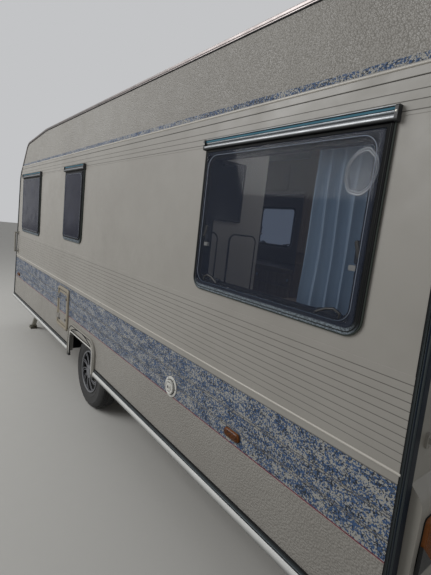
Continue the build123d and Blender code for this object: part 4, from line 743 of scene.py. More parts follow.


# Pre-painted aluminium, chalked with age: a soft shine, with painted shade between its pebbles and in its
# pressed grooves
WALL = WallSheet("wall_sheet", "#8f8c86", stain="#7b7771", stain_share=0.5, stain_size=0.7, roughness=0.45,
                 relief=0.0034, grime_and_shade="#57544f", sockets=(("Specular IOR Level", 0.5),))
# Flat painted panel: a shade darker than the walls, with faint weather stains half a metre wide
END_PANEL = Finish("end_panel_paint", "#85827b", stain="#67645d", stain_size=0.6, roughness=0.4)
# Painted roof sheet: pale and dull, mottled where water has stood
ROOF = Finish("roof_sheet", "#a3a19b", stain="#6f6d62", stain_share=0.35, stain_size=0.35, roughness=0.5)
# Anodised aluminium profile: dark metal with die lines a third of a millimetre apart drawn along it
TRIM = Finish("trim_anodised_aluminium", "#474d50", stain="#2c3134", roughness=0.3, sockets=METAL,
              stretch=(4.0, 60.0, 4.0), relief=0.00004, grain=0.02)
# Acrylic dyed nearly black: hides the room and gives back only a weak, wavy sheen
PRIVACY = Finish("privacy_acrylic", "#1d1f2c", stain="#292b3a", stain_share=0.6, stain_size=0.15,
                 roughness=0.18, relief=0.0004, grain=0.01, sockets=(("Specular IOR Level", 0.05),))
# Mill-finished aluminium, weathered: pale, with a broad soft highlight
ROOF_EDGE = Finish("roof_edge_aluminium", "#8d8684", stain="#5f5856", roughness=0.4, sockets=METAL)
# Soft vinyl strip pressed into the trim: blue-black with hardly any shine
INSERT = Finish("trim_vinyl_insert", "#131d29", roughness=0.45, sockets=RUBBER)
# Round bar of the skirt rail, shaded as a non-metal: a pale colour that paints its highlight along the
# crown, and painted shade underneath
RAIL_BAR = Finish("rail_bar_painted_highlight_and_shade", "#cbccca", stain="#a3a39f", stain_share=0.4, stain_size=0.15,
                  roughness=0.3, stretch=(1.0, 30.0, 30.0), grime_and_shade="#303232", sockets=MOULDED)
# Drawn aluminium: mid grey, its highlight blurred along lines half a millimetre apart
RAIL = Finish("rail_drawn_aluminium", "#7d8184", stain="#515455", roughness=0.42, sockets=METAL,
              stretch=(1.0, 60.0, 60.0), relief=0.00003, grain=0.03)
# The same metal polished by use: lighter, with a clearer highlight
BRIGHT = Finish("bright_aluminium", "#a6a8aa", stain="#7c7f82", roughness=0.38, sockets=METAL,
                stretch=(1.0, 40.0, 40.0), relief=0.00002, grain=0.03)
# Painted reflection on each window rail's back plate: a flat teal line along it
TEAL = Finish("rail_teal_painted_reflection", "#3d6a7b", stain="#30505d", roughness=0.6, sockets=RUBBER)
# Rubber seal: matt black, with pale, dusty specks where it faces up; the same black stands in as painted
# shade in the window rails' gaps and under their lips, and round the arches' ridges and sunk panels
BLACK_SEAL_AND_SHADE = Finish("epdm_rubber_and_painted_shade", "#141516", stain="#2a2a29", roughness=0.6, grime_and_shade="#79838b",
                    grime_even=0.35, sockets=RUBBER)
# Moulded nylon: black and dark grey with a satin sheen
BLACK = Finish("black_nylon", "#17181a", stain="#2c2c2b", roughness=0.42, sockets=MOULDED)
GREY_PLASTIC = Finish("grey_nylon", "#27292b", stain="#1b1c1e", roughness=0.45, sockets=MOULDED)
# ABS yellowed by the sun: warm, mottled in patches a hand wide
CREAM = Finish("cream_abs_aged", "#857d6e", stain="#6b604c", stain_share=0.4, stain_size=0.12,
               roughness=0.42, sockets=MOULDED)
# Formed ABS sheet: as pale as the wall, but smooth and a little duller
ARCH = Finish("arch_moulded_abs", "#8c8982", stain="#6d6a62", stain_share=0.4, roughness=0.5,
              sockets=MOULDED, relief=0.00015)
# Outdoor white plastic: stays whiter than the painted sheet round it
WHITE = Finish("white_asa", "#c1c0bb", stain="#918f88", stain_share=0.4, stain_size=0.1, roughness=0.4,
               sockets=MOULDED)
# Grey ABS handles, greasy in spots from hands
HANDLE = Finish("handle_grey_abs", "#86837c", stain="#67645d", stain_share=0.4, stain_size=0.1,
                roughness=0.45, sockets=MOULDED)
# Black polypropylene in the dark of boxes: no highlight at all
BOX = Finish("black_polypropylene", "#0b0b0c", roughness=0.7, sockets=RUBBER)
# Smoked acrylic: the room shows through its middle, and its border is milky and denser
PANE = Acrylic("smoked_acrylic", "#191c23", stain="#22262e", stain_size=0.5, roughness=0.05, uneven=0.02,
               relief=0.0004, grain=0.25, grime_and_shade="#3d4454", alpha=0.13, rim_alpha=0.38,
               sockets=(("Specular IOR Level", 0.15),))
# Clear acrylic with a blue cast: tints what lies behind it
BLUE_PANE = Finish("blue_tinted_acrylic", "#c9dcee", stain="#bdd2e6", roughness=0.05, uneven=0.02,
                   grime_and_shade="#3d4454",
                   sockets=(("Transmission Weight", 1.0), ("IOR", 1.0), ("Specular IOR Level", 0.0)))
# The pane's thick lip, where the smoke colour adds up and hardly any light comes through
LIP = Finish("smoked_acrylic_lip", "#343a36", stain="#454a45", roughness=0.3, uneven=0.04, grime_and_shade="#1b1e1f",
             sockets=(("Specular IOR Level", 0.15),))
# Polished edge of the pane's dished skin: a pale colour that paints the sky's reflection as a thin line,
# with painted shade along its lower side
PANE_EDGE = Finish("acrylic_edge_painted_sky_reflection", "#858d9a", stain="#626a76", roughness=0.2,
                   grime_and_shade="#414b57", sockets=(("Specular IOR Level", 0.15),))
# Clear patch under the pane: a faint disc with a milky rim
PATCH = Acrylic("clear_acrylic_patch", "#8d949c", stain="#a9afb5", stain_size=0.03, roughness=0.15,
                grime_and_shade="#9ea3aa", alpha=0.45, rim_alpha=0.9)
# Enamelled half-round bead: the cleanest and glossiest line of the wall
BEAD = Finish("bead_white_enamel", "#aeaaa2", stain="#8d877d", stain_size=0.3, roughness=0.35)
# Lacquered plastic wheel trim: grey without metal's sparkle, dirty in small spots
SPOKE = Finish("trim_grey_lacquer", "#6b6c70", stain="#434547", stain_size=0.03, roughness=0.4,
               sockets=MOULDED)
# Enamelled steel rim: black, brown in patches with brake dust
RIM_BLACK = Finish("rim_black_enamel", "#1b1c1d", stain="#3a3733", stain_share=0.5, roughness=0.5)
# Opal acrylic roof lids: milky, slightly green with age under a hard gloss
LID = Finish("milky_acrylic", "#a9abaa", stain="#86887f", stain_share=0.5, roughness=0.3,
             sockets=(("Coat Weight", 0.4),))
# Lamp lenses: amber that darkens and grows dusty to its rim, deep red, and clear grey
AMBER = Finish("amber_acrylic_lens", "#6e3d10", stain="#4f2a09", stain_size=0.03, roughness=0.25,
               grime_and_shade="#2e1609", grime_even=0.45, sockets=(("Specular IOR Level", 0.2),))
RED = Finish("red_acrylic_lens", "#8e1410", stain="#5d0c0a", stain_size=0.05, roughness=0.18,
             sockets=(("Coat Weight", 0.6),))
CLEAR = Finish("clear_acrylic_lens", "#b9bcbd", stain="#8c8f90", roughness=0.15,
               sockets=(("Coat Weight", 0.6),))
# Dipped steel: light and dark zinc crystals about 20 mm wide
GALVANISED = Finish("hot_dip_galvanised_steel", "#8f9294", stain="#5a5c5d", stain_share=0.7,
                    stain_size=0.02, roughness=0.45, sockets=METAL)
# Plated steel: smooth grey metal that yellows and rusts in spots
ZINC = Finish("zinc_plated_steel", "#9b9a92", stain="#6b5a42", stain_share=0.45, stain_size=0.06,
              roughness=0.38, sockets=METAL)
# Painted casting: black over a sandy skin, with rust coming through
CAST = Finish("black_cast_iron", "#1d1e20", stain="#5b3a26", stain_share=0.5, stain_size=0.05,
              roughness=0.55, relief=0.0004, sockets=MOULDED)
# Silver paint on a small wheel, scuffed dark
WHEEL_PAINT = Finish("wheel_silver_paint", "#74787b", stain="#3b3b39", stain_share=0.6, stain_size=0.08,
                     roughness=0.4, sockets=(("Metallic", 0.6),))
# Tyre rubber: matt black, browned by road dust; the jockey wheel's is greyer
TYRE = Finish("tyre_rubber", "#0c0c0d", stain="#1d1b19", stain_share=0.6, stain_size=0.1, roughness=0.7,
              sockets=RUBBER, relief=0.0003)
SOLID_RUBBER = Finish("solid_rubber", "#202021", roughness=0.65, sockets=RUBBER, relief=0.0003)
# Printed oak foil on light board: satin, with its grain upright
WOOD = Veneer("oak_foil", "#93836f", stain="#5d4e3e", stain_share=0.6, sockets=MOULDED)
# Light cotton: pale blue, with painted shade in the valleys of its folds
CURTAIN = Woven("curtain_cotton", "#b4cbe0", stain="#9db6cd", roughness=0.85, relief=0.0002,
                grime_and_shade="#7189a3", sockets=(("Sheen Weight", 0.1),), threads=(400.0, 900.0))
# Velour: deep blue-violet that lightens at a slant, rubbed in spots
UPHOLSTERY = Woven("upholstery_velour", "#47485a", stain="#5b5468", stain_share=0.6, stain_size=0.05,
                   roughness=0.9, relief=0.0003, sockets=(("Sheen Weight", 0.5),), threads=(500.0, 500.0))
# Vinyl sheet floor: brown, worn dull
FLOORING = Finish("vinyl_flooring", "#6b5c4a", stain="#4b3f33", stain_size=0.3, roughness=0.5)
# Melamine-faced board: an even pale grey with a low sheen
MELAMINE = Finish("grey_melamine", "#c4c2be", stain="#b3b0ab", stain_size=0.4, roughness=0.4,
                  sockets=MOULDED)
# Mirror in a dim room: a dark, clear colour that paints its reflection of the unlit inside
MIRROR = Finish("dark_mirror", "#23262b", stain="#30343a", roughness=0.12,
                sockets=(("Specular IOR Level", 0.4),))


# Sub-assemblies


OUTLINE = filleted(BODY_POINTS, BODY_RADII, 14)


def body_end(height: Array | float, front: bool) -> Array:
    """Length at which the body's outline stands at a height, read off the outline's rear or front half."""
    half = OUTLINE[OUTLINE[:, 0] > 2.7][::-1] if front else OUTLINE[OUTLINE[:, 0] < 2.7]
    return np.interp(height, half[:, 1], half[:, 0])


def add_bars(parts: Sequence[tuple], places: Sequence[tuple[Base, float]],
             replaces: str) -> None:
    """Adds a built-up moulding along several straight places, each part of its section as one piece.

    Args:
        parts: Piece's name, finish, section and marks of each part.
        places: Middle and length of each stretch.
        replaces: Node that the first part stands for.
    """
    for name, finish, profile, *marks in parts:
        shape = Shape()
        for base, length in places:
            shape.bar(base, length, profile, *marks)
        add_piece(name, shape, finish, replaces=replaces)
        replaces = ""


@dataclass
class WallSkins:
    """Pressed lines of the side sheets: grooves, beads and the band's ribs, laid a millimetre proud.

    Attributes:
        proud: How far the smooth sheet stands over the plain one.
        lower_grooves: Lowest groove, pitch and count below the windows.
        upper_grooves: The same above the windows.
        band_lines: Middles of the band's double lines.
        beads: Heights of the half-round beads.
        tuck: How far the sheets run in under the edge trims.
        door: Door's stretch of the right wall.
        hatch: Hatch's stretch of the left wall.
    """

    proud: float = 0.001
    lower_grooves: tuple[float, float, int] = (1.033, 0.0256, 10)
    upper_grooves: tuple[float, float, int] = (2.018, 0.027, 3)
    band_lines: Pair = BAND_LINES
    beads: Pair = (0.997, 2.139)
    tuck: float = 0.016
    door: Pair = (3.28, 3.94)
    hatch: Pair = (3.036, 3.349)

    def profile(self, low: float, high: float, lines: Sequence[Triple]) -> Array:
        """Sheet between two heights with its grooves.

        Each groove falls from the proud face to its depth at its middle and rises again, over its width.

        Args:
            low: Lower edge.
            high: Upper edge.
            lines: Middle, width and depth of each groove.

        Returns:
            Height, distance out and groove mark of each point; the mark paints shade into the groove.
        """
        rows = [(low, 0.0, 0.0), (low + 0.001, self.proud, 0.0)]
        for middle, width, depth in sorted(lines):
            # Mark 0.5 at a groove's edges and 1 at its bottom: painted shade in the groove
            rows += [(middle - width / 2 - 0.0002, self.proud, 0.0), (middle - width / 2, self.proud, 0.5),
                     (middle - width / 6, self.proud - depth, 1.0),
                     (middle + width / 6, self.proud - depth, 1.0), (middle + width / 2, self.proud, 0.5),
                     (middle + width / 2 + 0.0002, self.proud, 0.0)]
        return np.array(rows + [(high - 0.001, self.proud, 0.0), (high, 0.0, 0.0)])

    def lay(self, shape: Shape, wall: Wall, rows: Array, gap: Pair | None) -> None:
        """Lays a profile along the wall from trim to trim.

        Args:
            shape: Where it is added.
            wall: The side wall.
            rows: Height, distance out and mark of each point of the profile.
            gap: Stretch that is left out.
        """
        sign = -1 if wall is Wall.LEFT else 1
        height, out, mark = np.broadcast_to(rows.T[:, None], (3, 2, len(rows)))
        rear, front = body_end(rows[:, 0], False) + self.tuck, body_end(rows[:, 0], True) - self.tuck
        stops = [(rear, front)] if gap is None else [(rear, rear * 0 + gap[0]), (front * 0 + gap[1], front)]
        for stretch in stops:
            shape.grid(wall.value.place(sign * np.stack(stretch), height, out), flip=sign < 0, mark=mark)

    def build(self) -> None:
        """Lays the sheets and beads on both walls."""
        lower, upper = ([(first + i * pitch, 0.003, 0.0009) for i in range(count)]
                        for first, pitch, count in (self.lower_grooves, self.upper_grooves))
        double = [(line + step, 0.0024, 0.0008) for line in self.band_lines for step in (-0.0035, 0.0035)]
        band = self.profile(0.7085, 0.943, double)
        sheets = (self.profile(0.943, 1.29, [(0.966, 0.003, 0.0009), *lower]),
                  self.profile(2.006, 2.176, [*upper, (2.108, 0.005, 0.001)]))
        angle = np.linspace(0, math.pi, 9)
        for wall, side in ((Wall.LEFT, "left"), (Wall.RIGHT, "right")):
            door = self.door if wall is Wall.RIGHT else None
            shape = Shape()
            self.lay(shape, wall, band, door or self.hatch)
            for rows in sheets:
                self.lay(shape, wall, rows, door)
            add_piece(f"wall_skins_{side}", shape, WALL)
            shape = Shape()
            for bead in self.beads:
                up, out = bead - 0.0048 * np.cos(angle), 0.0005 + 0.004 * np.sin(angle)
                self.lay(shape, wall, np.stack([up, out, np.zeros(9)], 1), door)
            add_piece(f"wall_beads_{side}", shape, BEAD)


@dataclass
class EdgeTrims:
    """Drawn profile that holds the end sheets to the side walls, with its vinyl insert and sealant.

    Attributes:
        foot: Height at which it stops over the skirt rail.
    """

    foot: float = RAIL_TOP

    def lines(self, wall: Wall) -> dict[str, Array]:
        """The body's outline over the rail in its rear, roof and front stretches, inside to the left."""
        feet = [(float(body_end(self.foot, front)), self.foot) for front in (False, True)]
        line = np.vstack([feet[:1], OUTLINE[1:-1], feet[1:]])
        bend = np.flatnonzero(line[:, 0] > 0.15)[0], np.flatnonzero(line[:, 0] > 4.95)[0]
        runs = {"rear": line[:bend[0] + 1], "roof": line[bend[0]:bend[1] + 1], "front": line[bend[1]:]}
        return {name: run * (-1, 1) if wall is Wall.LEFT else run[::-1] for name, run in runs.items()}

    def build(self) -> None:
        """Carries the profile, the insert and the sealant round both walls."""
        ends, roof = ("rear", "front"), ("roof",)
        metal = [(-4, -30), (-4, 3.5), (-3, 5.6), (-1.5, 6.6), (0, 6.4), (0.8, 3.8), (10.2, 3.8), (10.8, 6),
                 (12, 6.8), (13.2, 6), (13.8, 4.4), (16, 4.4), (17, 5.4), (18, 4.8), (18.6, 2.4), (18.6, 0),
                 (0, 0), (0, -30)]
        edge = [(-4, -30), (-4, 3.5), (-3, 5.4), (-1, 6), (8, 6), (10, 5), (10.5, 3), (15, 3), (16, 0),
                (0, 0), (0, -30)]
        insert = [(3.4, 3.6), (3.8, 5.2), (5.5, 5.8), (7.2, 5.2), (7.6, 3.6)]
        pieces = (("edge_trim_profiles", TRIM, ends, metal), ("edge_trim_inserts", INSERT, ends, insert),
                  ("edge_trim_sealant", BLACK_SEAL_AND_SHADE, ends, [(18, 0), (18, 2.8), (21.5, 2.4), (24.5, 0)]),
                  ("edge_trim_flanks", INSERT, ends, [(-4, -29), (-5, -28.5), (-5, 2.5), (-4, 3.4)]),
                  ("roof_edge_profiles", ROOF_EDGE, roof, edge),
                  ("roof_edge_sealant", BLACK_SEAL_AND_SHADE, roof, [(15, 0), (15, 3.4), (20, 2.8), (21.5, 0)]))
        for name, finish, stretches, profile in pieces:
            shape = Shape()
            for wall in (Wall.LEFT, Wall.RIGHT):
                for stretch in stretches:
                    shape.strip(wall.value, self.lines(wall)[stretch], profile)
            add_piece(name, shape, finish, replaces="edge_trims" if finish is TRIM else "")


@dataclass
class SkirtRails:
    """Rail along the foot of each side wall: seal line, grey-blue strip, seal line and a round bar with a
    painted highlight on its crown and painted shade under it.

    Attributes:
        runs: Stretches of the body's length that it covers, behind and before the wheel.
    """

    runs: tuple[Pair, ...] = ((0.0, 2.341), (2.995, 5.416))

    def build(self) -> None:
        """Carries each part of the section, up from the ground, along both walls."""
        angle = np.linspace(-70, 78, 13)
        turn = np.radians(angle)
        nose = np.stack([422 + 21 * np.sin(turn), 6.5 + 11.2 * np.cos(turn)], 1)
        # Painted shade round the bar's section: light at its crown, dark underneath
        shade = np.interp(angle, (-70, -35, 0, 25, 50, 78), (0.95, 0.75, 0.35, 0.0, 0.05, 0.5))
        bar = [(400.4, 0), (400.4, 7), *nose, (443.5, 7), (443.5, 0)]
        strip = [(446.4, 0), (446.4, 9), (447, 10.5), (449, 9.5), (452, 7.4), (461, 7.4), (461, 0)]
        parts = (("rail_bars", RAIL_BAR, bar, (1.0, 1.0, *shade, 0.8, 0.8)), ("rail_strips", TRIM, strip),
                 ("rail_seals", BLACK_SEAL_AND_SHADE, [(461, 0), (461, 6.5), (463, 7), (465, 5), (465, 0)]),
                 ("rail_lines", BLACK_SEAL_AND_SHADE, [(441.6, 6), (441.6, 10.4), (446.4, 11.2), (446.4, 6)]),
                 ("rail_lips", TRIM, [(400, -24), (400, 6), (400.8, 6), (401.5, 0), (401.5, -24)]))
        places = [(wall.at((start + stop) / 2, 0.0), stop - start) for wall in (Wall.LEFT, Wall.RIGHT)
                  for start, stop in self.runs]
        add_bars(parts, places, "skirt_rails")


@dataclass(frozen=True)
class WindowRow:
    """One window: its wall, middle along it, sill up it, the pane's size and whether it is private."""

    name: str
    wall: Wall
    middle: float
    sill: float
    width: float
    height: float
    private: bool = False


WINDOWS = (WindowRow("dinette_left", Wall.LEFT, 0.6875, 1.34, 0.921, 0.664),
           WindowRow("washroom", Wall.LEFT, 3.059, 1.384, 0.504, 0.62, True),
           WindowRow("bed_left", Wall.LEFT, 4.6005, 1.335, 0.867, 0.669, True),
           WindowRow("dinette_right", Wall.RIGHT, 0.6875, 1.34, 0.921, 0.664),
           WindowRow("kitchen", Wall.RIGHT, 2.8, 1.48, 0.64, 0.524),
           WindowRow("bed_right", Wall.RIGHT, 4.6005, 1.335, 0.867, 0.669),
           WindowRow("front", Wall.FRONT, 0.0, 0.86, 1.48, 0.6),
           WindowRow("rear", Wall.REAR, 0.0, 0.93, 1.48, 0.662))


@dataclass
class Windows:
    """Top-hung acrylic windows: dished pane with its bonded border, hinge rail, catches and stays.

    Attributes:
        radius: Radius of a pane's lower corners.
        top_radius: Radius of its upper corners.
        rail_rise: Rail's foot above the pane's top edge.
        rail_over: How far the rail runs past the pane at both ends together.
        cap: Length of a rail's end cap.
        catch: Catch's middle above the sill, as a share of the pane's height.
    """

    radius: float = 0.062
    top_radius: float = 0.012
    rail_rise: float = 0.0005
    rail_over: float = 0.012
    cap: float = 0.01
    catch: float = 0.405

    def panes(self) -> None:
        """Each pane: a flat lip, two seal lines, dusty along the sill, and the dished, tinted skin."""
        lip, lines, clear, dark, blue, edge = (Shape() for _ in range(6))
        quarter = np.arange(4)[:, None] * math.pi / 2 + np.linspace(0, math.pi / 2, 13)[None, :]
        # Marks along each ring's lower side: the seal lines grow dusty there, and the pane's edge line gets
        # painted shade
        dust_and_shade = np.clip(-np.sin(quarter.ravel()), 0, 1)[:, None] ** 2
        outer_lip = [(0, 4), (0, 7.5), (1.2, 8.8), (4.2, 9.4), (5, 8.4), (5, 4)]
        inner_lip = [(12.6, 6), (12.6, 11.4), (13.2, 12), (14.4, 12), (15, 11.4), (15, 6)]
        dish = [(26, 5.5), (26, 11), (27.5, 15.2), (29, 16.6), (32, 17), (40, 17), (43, 16.4), (45.5, 15.2),
                (48, 14.8)]
        for row in WINDOWS:
            base = row.wall.at(row.middle, row.sill + row.height / 2)
            size = (row.width, row.height, self.radius)
            lip.ring(base, *size, outer_lip, 12, top=self.top_radius)
            lip.ring(base, *size, inner_lip, 12, top=self.top_radius, marks=(0.8,) * 6)
            for near, far in ((4.9, 12.7), (14.9, 26.3)):
                seal = [(near, 4), (near, 9.6), (near + 1.5, 11.2), (far - 1.8, 11.4), (far, 10), (far, 4)]
                lines.ring(base, *size, seal, 12, top=self.top_radius, marks=dust_and_shade)
            pane = dark if row.private else blue if row.name == "kitchen" else clear
            pane.block(base, *size, dish, 12, top=self.top_radius,
                       marks=(1, 1, 0.9, 0.9, 0.8, 0.7, 0.3, 0.1, 0.0))
            # Edge line: a painted reflection of the sky, darkened along its lower side as painted shade
            edge.ring(base, row.width - 0.082, row.height - 0.082, 0.055,
                      [(0, 16), (0.6, 17.2), (1.8, 17.1), (2.6, 15.6)], 12, marks=dust_and_shade ** 0.5)
        for name, shape, finish in (("lips", lip, LIP), ("lines", lines, BLACK_SEAL_AND_SHADE), ("skins", clear, PANE),
                                    ("skins_private", dark, PRIVACY), ("skin_kitchen", blue, BLUE_PANE),
                                    ("edges", edge, PANE_EDGE)):
            add_piece(f"window_pane_{name}", shape, finish,
                      replaces="window_panes" if name.startswith("skin") else "")

    def rails(self) -> None:
        """Each rail: a back with its top lip and strips, the round bar below and a cap at either end."""
        angle = np.arange(-110, 136, 15)
        turn = np.radians(angle)
        round_bar = np.stack([-4.5 + 11 * np.sin(turn), 13 + 11 * np.cos(turn)], 1)
        # Painted shade round the bar's section: light along its crown, dark underneath
        shade = np.interp(angle, (-60, -30, -5, 20, 45, 75, 110), (0.98, 0.85, 0.6, 0.25, 0.0, 0.0, 0.8))
        back = [(0, 0), (0, 5), (5, 12), (9, 15), (15, 16.2), (16.5, 16), (16.5, 14), (29.2, 14), (29.2, 17),
                (31.4, 17), (32, 16), (32, 0)]
        # Teal strips: a painted reflection on the rail's back plate
        strip = [(18.5, 13.9), (18.5, 15.4), (19.6, 16.2), (25.4, 16.2), (26.5, 15.4), (26.5, 13.9)]
        # Black strip of painted shade in the gap between the back's moulding and the teal strips
        gap = [(16.4, 13.9), (16.4, 16.1), (18.5, 16.1), (18.5, 13.9)]
        shadow = [(26.5, 13.9), (26.5, 16.4), (29.2, 16.4), (29.2, 13.9)]
        # The back's marks paint shade: dark at its foot, behind the strips and under its top lip, light on
        # its moulding's top
        parts = (("window_rail_backs", RAIL, back, (0.9, 0.9, 0.85, 0.6, 0.2, 0.1, 1, 1, 1, 0, 0, 0)),
                 ("window_rail_bars", BRIGHT, round_bar, shade), ("window_rail_strips", TEAL, strip),
                 ("window_rail_gap_shade", BLACK_SEAL_AND_SHADE, gap), ("window_rail_shadows", BLACK_SEAL_AND_SHADE, shadow))
        over = self.rail_over
        places = [(row.wall.at(row.middle, row.sill + row.height + self.rail_rise), row.width + over)
                  for row in WINDOWS]
        add_bars(parts, [(base, length - 2 * self.cap) for base, length in places],
                 "window_rails")
        corner = np.radians(np.arange(0, 91, 15))
        cap = np.vstack([(-15, 0), np.stack([-7 - 8 * np.cos(corner), 16 + 8 * np.sin(corner)], 1),
                         np.stack([24 + 8 * np.sin(corner), 16 + 8 * np.cos(corner)], 1), (32, 0)])
        caps, screws = Shape(), Shape()
        for base, length in places:
            for sign in (-1, 1):
                end = base.moved(sign * (length - self.cap) / 2, 0)
                caps.bar(end, self.cap, cap)
                screws.turned(end.moved(0, 0.012, 0.024), [(3.2, -0.5), (3.0, 0.9), (0, 1.4)], 12)
        add_piece("window_rail_caps", caps, GREY_PLASTIC)
        add_piece("window_rail_screws", screws, ZINC)

    def catches(self) -> None:
        """Turn catches at both sides and stays at the foot of each pane, behind its skin."""
        black, steel = Shape(), Shape()
        for row in WINDOWS:
            base = row.wall.at(row.middle, row.sill)
            for sign in (-1, 1):
                side = base.moved(sign * (row.width / 2 - 0.052), row.height * self.catch, -0.004)
                black.block(side, 0.032, 0.076, 0.008, [(0, -14), (0, 4), (2, 6)])
                black.block(side.moved(-sign * 0.006, 0.01).turned(sign * 18), 0.016, 0.058, 0.007,
                            [(0, 2), (0, 9), (3, 11)])
                steel.block(side.moved(-sign * 0.016, -0.05), 0.026, 0.018, 0.004, [(0, -4), (0, 8), (1, 9)])
                black.block(side.moved(sign * 0.001, -0.074), 0.016, 0.028, 0.004, [(0, -4), (0, 6), (1, 7)])
                foot = base.moved(sign * (row.width / 2 - 0.15), 0.05, -0.01)
                black.block(foot, 0.064, 0.034, 0.01, [(0, -10), (0, 8), (3, 11)])
                path = np.array([(-0.03, 0.0), (0.01, 0.02), (0.04, 0.026), (0.068, 0.014), (0.064, 0.0)])
                line = filleted(path * (sign, 1), 0.007, 5)
                black.tube(foot.place(line[:, 0], line[:, 1], 0.012), 0.0055, foot.out, 8)
        add_piece("window_catches", black, BLACK)
        add_piece("window_catch_pins", steel, WHITE)

    def patch(self) -> None:
        """Clear oval patch with a raised rim, stuck inside the rear left pane: rings of a ragged ellipse."""
        base = Wall.LEFT.at(0.317, 1.856, 0.0035).turned(-8)
        angle = np.linspace(0, 2 * math.pi, 48, endpoint=False)[:, None]
        share = np.array([1.0, 1.0, 0.96, 0.9, 0.84, 0.8, 0.0])
        out = np.array([0.0, 1.6, 3, 1.6, 2.6, 1, 1]) * MM
        ragged = 1 + 0.018 * np.sin(5 * angle) + 0.012 * np.sin(9 * angle + 1)
        wide, tall = share * 0.057 * ragged, share * 0.074 * ragged
        points = base.place(wide * np.cos(angle), tall * np.sin(angle), out)
        marks = np.broadcast_to([1.0, 1.0, 0.9, 0.3, 0.9, 0.2, 0.0], (48, 7))
        add_piece("window_patch", Shape().grid(points, wrap_u=True, mark=marks), PATCH)

    def build(self) -> None:
        """Builds every window's parts."""
        self.panes()
        self.rails()
        self.catches()
        self.patch()


@dataclass
class WheelArches:
    """Moulded arches: two ridges round the outside, the mouth's lip and the outlined sunk panel, with black
    strips of painted shade beside the ridges and along the panel's crest and foot.

    Attributes:
        outside: Half the arch's width, the height of its top and its corner radius.
        mouth: The same for its mouth.
        foot: Height at which the ridges start.
        leg: Height at which the second ridge of each leg ends.
        brow: Half chord of the sunk panel, its foot's height and its crest's height.
    """

    outside: Triple = (0.327, 0.676, 0.12)
    mouth: Triple = (0.272, 0.6, 0.034)
    foot: float = 0.401
    leg: float = 0.612
    brow: Triple = (0.236, 0.614, 0.662)

    def hoop(self, half: float, top: float, corner: float) -> Array:
        """Up one side, over the top and down the other, with its inside to the left."""
        return filleted([(half, self.foot), (half, top), (-half, top), (-half, self.foot)], corner, 10)

    def build(self) -> None:
        """Lays the mouldings on both arches. The sunk panel's crest is a circle's arc over its chord."""
        ridges, lips, lines, feet = (Shape() for _ in range(4))
        half, foot, crest = self.brow
        rise = crest - foot
        radius = (half ** 2 + rise ** 2) / (2 * rise)
        turn = math.asin(half / radius)
        angle = np.linspace(turn, -turn, 25)
        arc = np.stack([radius * np.sin(angle), crest - radius + radius * np.cos(angle)], 1)
        chord = arc[::-1][[0, -1]]
        wide = self.outside[0]
        outer = self.hoop(*self.outside)
        legs = [np.array([(sign * wide, self.foot), (sign * wide, self.leg)])[::sign] for sign in (1, -1)]
        for wall in (Wall.LEFT, Wall.RIGHT):
            base = wall.at(AXLE_PLACE, 0.0)
            for run, at in ((outer, 1.5), (legs[0], 18), (legs[1], 18)):
                ridges.strip(base, run, [(at, 13), (at + 1, 15.6), (at + 3, 16.8), (at + 6, 16.8),
                                         (at + 8, 15.6), (at + 9, 13)])
            lips.strip(base, self.hoop(*self.mouth),
                       [(-9, 13), (-8, 15.6), (-5, 16.8), (-2, 16.4), (0, 15), (0, 4)])
            # Black strips beside the ridges: painted shade
            for run, at in ((outer, 10.6), (legs[0], 27.2), (legs[1], 27.2)):
                lines.strip(base, run, [(at, 13.8), (at, 14.6), (at + 7, 14.6), (at + 7, 13.8)])
            # Black strips along the sunk panel's crest and foot: painted shade, each with a white lip
            for shape, line, low, high in ((lines, arc, -8, 4), (lips, arc, 4, 7), (lines, chord, -2, 5),
                                           (lips, chord, -6, -2)):
                shape.strip(base, line, [(low, 13.8), (low, 14.9), (high, 14.9), (high, 13.8)])
            for sign in (-1, 1):
                feet.block(base.moved(sign * (wide + self.mouth[0]) / 2, 0.392, -0.004), 0.05, 0.04,
                           0.008, [(0, 0), (0, 14), (3, 18)])
        add_piece("arch_ridges", ridges, ARCH)
        add_piece("arch_lips", lips, WHITE)
        add_piece("arch_shade_lines", lines, BLACK_SEAL_AND_SHADE)
        add_piece("arch_feet", feet, BLACK)


